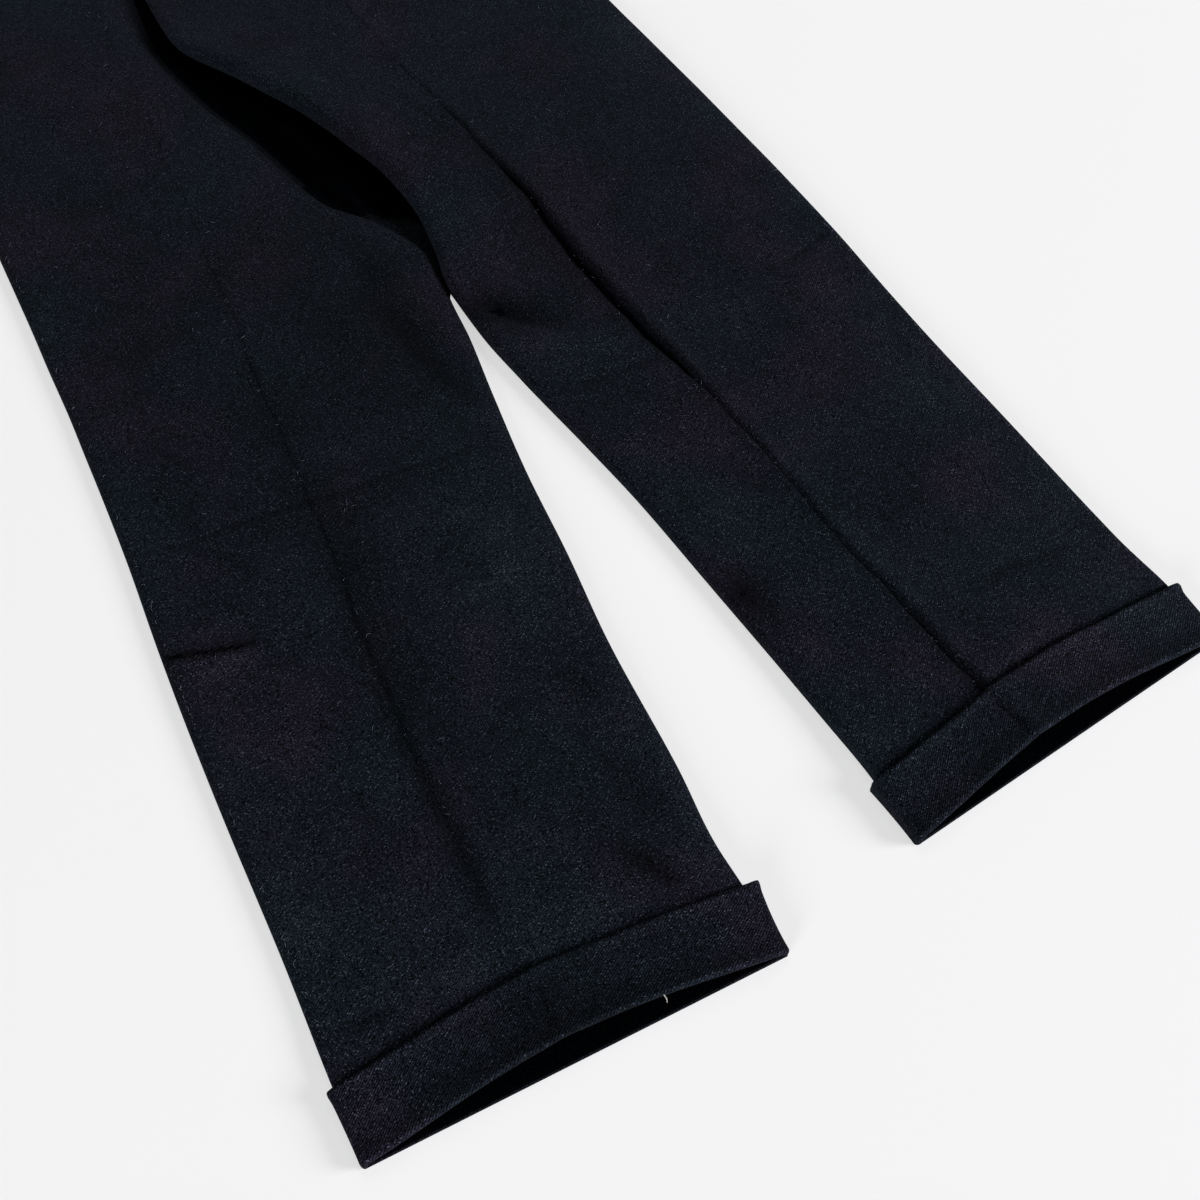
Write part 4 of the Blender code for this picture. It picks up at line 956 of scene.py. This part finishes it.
flyY, flyAway = np.array(sewing["flyLine"]).T
bentY = readTable(list(enumerate(flyY)), np.linspace(0, len(flyY) - 1, 60))[0]
away = np.interp(-bentY, -flyY, flyAway)
edge = readTable(leftRows, bentY)[4]
dots = evenly(np.stack([edge + away, bentY], axis=-1), sewing["stitch"] + sewing["stitchGap"])
leftTop = frontSheet("left", panelRows)[:, tucked["left"]:]
heading = unit(np.gradient(dots, axis=0))
stitches = []
for share, sink in ((-0.5, -0.0002), (-0.3, 0.0002), (0.0, 0.00035), (0.3, 0.0002), (0.5, -0.0002)):
    spots = dots + heading * share * sewing["stitch"]
    z = onCloth(leftTop, spots[:, 0], spots[:, 1]) + garment["cloth"] / 2 + sink
    stitches.append(np.column_stack([spots, z]))
stitches = np.stack(stitches, axis=1)
navyThread = makeThread("twistedCottonThread", sewing["colour"])
meshFromTubes("flyStitching", stitches, sewing["thread"], 6, navyThread)

# buttonhole: a worked slit that starts under the button and runs towards the middle of the left band
bandLeft = bandFrontGrid("left")
middleRow = len(bandRows) // 2
buttonX = readTable(leftRows, bandRows)[4][middleRow] + sewing["buttonInset"]
buttonY = float(np.interp(buttonX, bandLeft[middleRow, :, 0], bandLeft[middleRow, :, 1]))
turn = np.linspace(0, 2 * math.pi, sewing["buttonholeStitches"] + 1)
half, wide = sewing["buttonhole"] / 2, sewing["buttonholeWide"] / 2
holeX = buttonX + half - 0.004 + (half - wide) * np.tanh(3 * np.cos(turn)) + wide * np.cos(turn)
holeY = buttonY + wide * np.tanh(3 * np.sin(turn))
bandTop = garment["bandCloth"] / 2
purls = []
for number in range(sewing["buttonholeStitches"]):
    middle = np.array([holeX[number], holeY[number]])
    ahead = unit(np.array([holeX[number + 1], holeY[number + 1]]) - middle)
    outward = np.array([ahead[1], -ahead[0]])
    spots = middle + np.outer([-0.0006, 0.0, 0.0007, 0.0016, 0.0020], outward)
    rise = np.array([-0.0004, 0.0003, 0.0003, 0.0, -0.0004])
    purls.append(np.column_stack([spots, onCloth(bandLeft, spots[:, 0], spots[:, 1]) + bandTop + rise]))
meshFromTubes("buttonholeWork", purls, 0.0004, 5, navyThread)

# thread through the button: two bars over its four holes, down its shank to the band
top = float(np.interp(buttonX, bandLeft[middleRow, :, 0], bandLeft[middleRow, :, 2])) + bandTop
bars = []
spread = sewing["holeSpread"] * math.sqrt(0.5)
for side in (-1, 1):
    for shift in (-0.00035, 0.00035):
        y = buttonY + side * spread + shift
        x = buttonX + spread * np.array([-1, -1, -1, -0.4, 0.4, 1, 1, 1])
        z = top + np.array([0.0, 0.0012, 0.0029, 0.0034, 0.0034, 0.0029, 0.0012, 0.0])
        bars.append(np.column_stack([x, np.full(8, y), z]))
meshFromTubes("buttonThread", bars, 0.0003, 6, navyThread)
print("sewing made")


lint = {
    "count": 420,
    "long": (0.0015, 0.0048),
    "thick": 0.00007,
    "colour": "#8b93a2",
    "skipRows": 12,           # rows that lie under the turn-up
    "skipColumns": {"right": (6, 40), "left": (2, 6)},     # at the low and the high edge
    "thread": "#d6d2c8",
    "threadAt": -0.1225,      # x of the loose thread that hangs from the near turn-up
}


def scatter(number, seed):  # an even-looking spread between 0 and 1, the same each run
    return (np.sin(number * 12.9898 + seed * 78.233) * 43758.5453) % 1.0


def makeLint():  # bent fibres that lie on the nap, a third of them at the edges of the legs
    number = np.arange(lint["count"])
    paths = []
    for side in ("right", "left"):
        mine = number[number % 2 == (side == "left")]
        grid = frontSheet(side, panelRows)[lint["skipRows"]:, tucked[side]:]
        low, high = lint["skipColumns"][side]
        high = grid.shape[1] - high
        row = (scatter(mine, 1) ** 1.3 * (len(grid) - 4)).astype(int) + 2
        share = scatter(mine, 2)
        share = np.where(mine % 3 == 0, np.where(mine % 2 == 0, 0.02 * share, 1 - 0.02 * share), share)
        column = (low + share * (high - low)).astype(int)
        base = grid[row, column]
        along, across = unit(grid[row + 1, column] - base), unit(grid[row, column + 1] - base)
        normal = unit(np.cross(across, along))
        turn = scatter(mine, 3) * 2 * math.pi
        heading = np.cos(turn)[:, None] * across + np.sin(turn)[:, None] * along
        bend = np.cross(normal, heading) * (scatter(mine, 4) - 0.5)[:, None]
        size = (lint["long"][0] + (lint["long"][1] - lint["long"][0]) * scatter(mine, 5) ** 2)[:, None]
        steps = []
        for part, rise in ((-0.5, 0.1), (-0.2, 0.5), (0.2, 0.6), (0.5, 0.2)):
            lifted = garment["cloth"] / 2 + 0.0001 + rise * 0.0006
            steps.append(base + heading * part * size + bend * (part * part) * 2 * size + normal * lifted)
        paths += list(np.stack(steps, axis=1))
    meshFromTubes("lintFibres", paths, lint["thick"], 3, makeThread("lintOnNap", lint["colour"]))


def hangThread():  # one loose end of white thread at the fold of the near turn-up
    grid, tone = turnUpFrontGrid("right")
    row = grid[:, :, 1].mean(axis=1).argmin()
    spot = np.array([np.interp(lint["threadAt"], grid[row, 4:-8, 0], grid[row, 4:-8, k]) for k in range(3)])
    steps = np.array([(0, 0.0012, 0.0012), (0.0001, -0.0006, 0.0006), (0.0005, -0.0018, -0.0010),
                      (0.0006, -0.0030, -0.0026), (0.0002, -0.0040, -0.0040)])
    meshFromTubes("looseThread", [spot + steps], 0.00028, 6, makeThread("whiteCottonThread", lint["thread"]))


makeLint()
hangThread()
print("lint made")


def makeHorn():
    # polished dark horn: nearly black, with a faint grain and a soft shine
    material, tree, shader = startMaterial("polishedHorn")
    spot = addNode(tree, "ShaderNodeTexCoord").outputs["Object"]
    grain = addNode(tree, "ShaderNodeMapping", {"Vector": spot, "Scale": (900.0, 220.0, 400.0)})
    noise = addNode(tree, "ShaderNodeTexNoise", {"Vector": grain, "Scale": 1.0, "Detail": 4.0})
    ramp = addNode(tree, "ShaderNodeValToRGB", {"Fac": noise})
    ramp.color_ramp.elements[0].color = linear("#0e0c0b")
    ramp.color_ramp.elements[1].color = linear("#2c241d")
    tree.links.new(ramp.outputs["Color"], shader.inputs["Base Color"])
    shader.inputs["Roughness"].default_value = 0.32
    shader.inputs["IOR"].default_value = 1.54
    return material


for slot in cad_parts["waist_button"].material_slots:
    slot.material = makeHorn()
print("button made")


studio = {
    "paper": "#bcbcbc",
    "glow": "#f3f3f3",        # of the floor, lit from below, and of the room
    "floorGlow": 0.645,
    "roomGlow": 0.05,
    "camera": (-0.26558, -0.14106, 0.73675),
    "aim": (-0.0182, 0.2261, 0.0),
    "upward": (0.44974, 0.72993, 0.51472),
    "lens": 42.0,             # mm, on a sensor 36 mm wide
    "lightsAway": 8.0,
    "lightsAim": (0.0, 0.4, 0.0),
}

# soft lights: name, direction and height in degrees, side in metres, watts, tint
studioLights = (
    ("windowRight", -36, 26, 3.0, 560, "#fbfaff"),
    ("windowLeft", 208, 18, 3.0, 330, "#fbfcff"),
    ("softTop", 60, 62, 4.0, 60, "#ffffff"),
)


def toFrame(point):
    return Vector((point[0] + garment["shiftX"], point[1] + garment["shiftY"], point[2]))


def makeFloor():
    line = np.linspace(-6, 6, 5)
    grid = np.stack(np.meshgrid(line, line, indexing="xy") + [np.zeros((5, 5))], axis=-1)
    floor = meshFromGrid("floor", grid)
    material, tree, shader = startMaterial("paperSweep")   # matt white paper, lit evenly
    spot = addNode(tree, "ShaderNodeTexCoord").outputs["Object"]
    noise = addNode(tree, "ShaderNodeTexNoise", {"Vector": spot, "Scale": 3.0, "Detail": 2.0})
    tone = addNode(tree, "ShaderNodeMapRange", {"Value": noise, "To Min": 0.985, "To Max": 1.0})
    colour = addNode(tree, "ShaderNodeMix", {0: 1.0, 6: linear(studio["paper"]), 7: tone},
                     data_type="RGBA", blend_type="MULTIPLY")
    tree.links.new(colour.outputs[2], shader.inputs["Base Color"])
    shader.inputs["Roughness"].default_value = 0.9
    shader.inputs["Specular IOR Level"].default_value = 0.0
    shader.inputs["Emission Color"].default_value = linear(studio["glow"])
    shader.inputs["Emission Strength"].default_value = studio["floorGlow"]
    floor.data.materials.append(material)
    floor.visible_diffuse = False    # so that the glow of the paper doesn't fill the hollows


def addLight(name, place, side, power, tint):
    light = bpy.data.lights.new(name, "AREA")
    light.shape = "RECTANGLE"
    light.size = light.size_y = side
    light.energy = power
    light.color = linear(tint)[:3]
    lamp = bpy.data.objects.new(name, light)
    start, end = toFrame(place), toFrame(studio["lightsAim"])
    aim = (end - start).to_track_quat("-Z", "Y").to_matrix().to_4x4()
    lamp.matrix_world = Matrix.Translation(start) @ aim
    bpy.context.scene.collection.objects.link(lamp)


makeFloor()
for name, turn, rise, side, power, tint in studioLights:
    a, e = math.radians(turn), math.radians(rise)
    out = np.array([math.cos(a) * math.cos(e), math.sin(a) * math.cos(e), math.sin(e)])
    addLight(name, studio["lightsAim"] + studio["lightsAway"] * out, side, power, tint)

world = bpy.data.worlds.new("paleStudio")
world.use_nodes = True
world.node_tree.nodes["Background"].inputs["Color"].default_value = linear(studio["glow"])
world.node_tree.nodes["Background"].inputs["Strength"].default_value = studio["roomGlow"]
bpy.context.scene.world = world
bpy.context.scene.view_settings.view_transform = "Standard"

cameraData = bpy.data.cameras.new("photoCamera")
cameraData.lens = studio["lens"]
cameraData.sensor_width = 36.0
cameraData.clip_start = 0.02
camera = bpy.data.objects.new("photoCamera", cameraData)
back = (Vector(studio["camera"]) - Vector(studio["aim"])).normalized()
right = Vector(studio["upward"]).cross(back).normalized()
turned = Matrix((right, back.cross(right), back)).transposed()
camera.matrix_world = Matrix.Translation(toFrame(studio["camera"])) @ turned.to_4x4()
bpy.context.scene.collection.objects.link(camera)
bpy.context.scene.camera = camera
print("studio made")
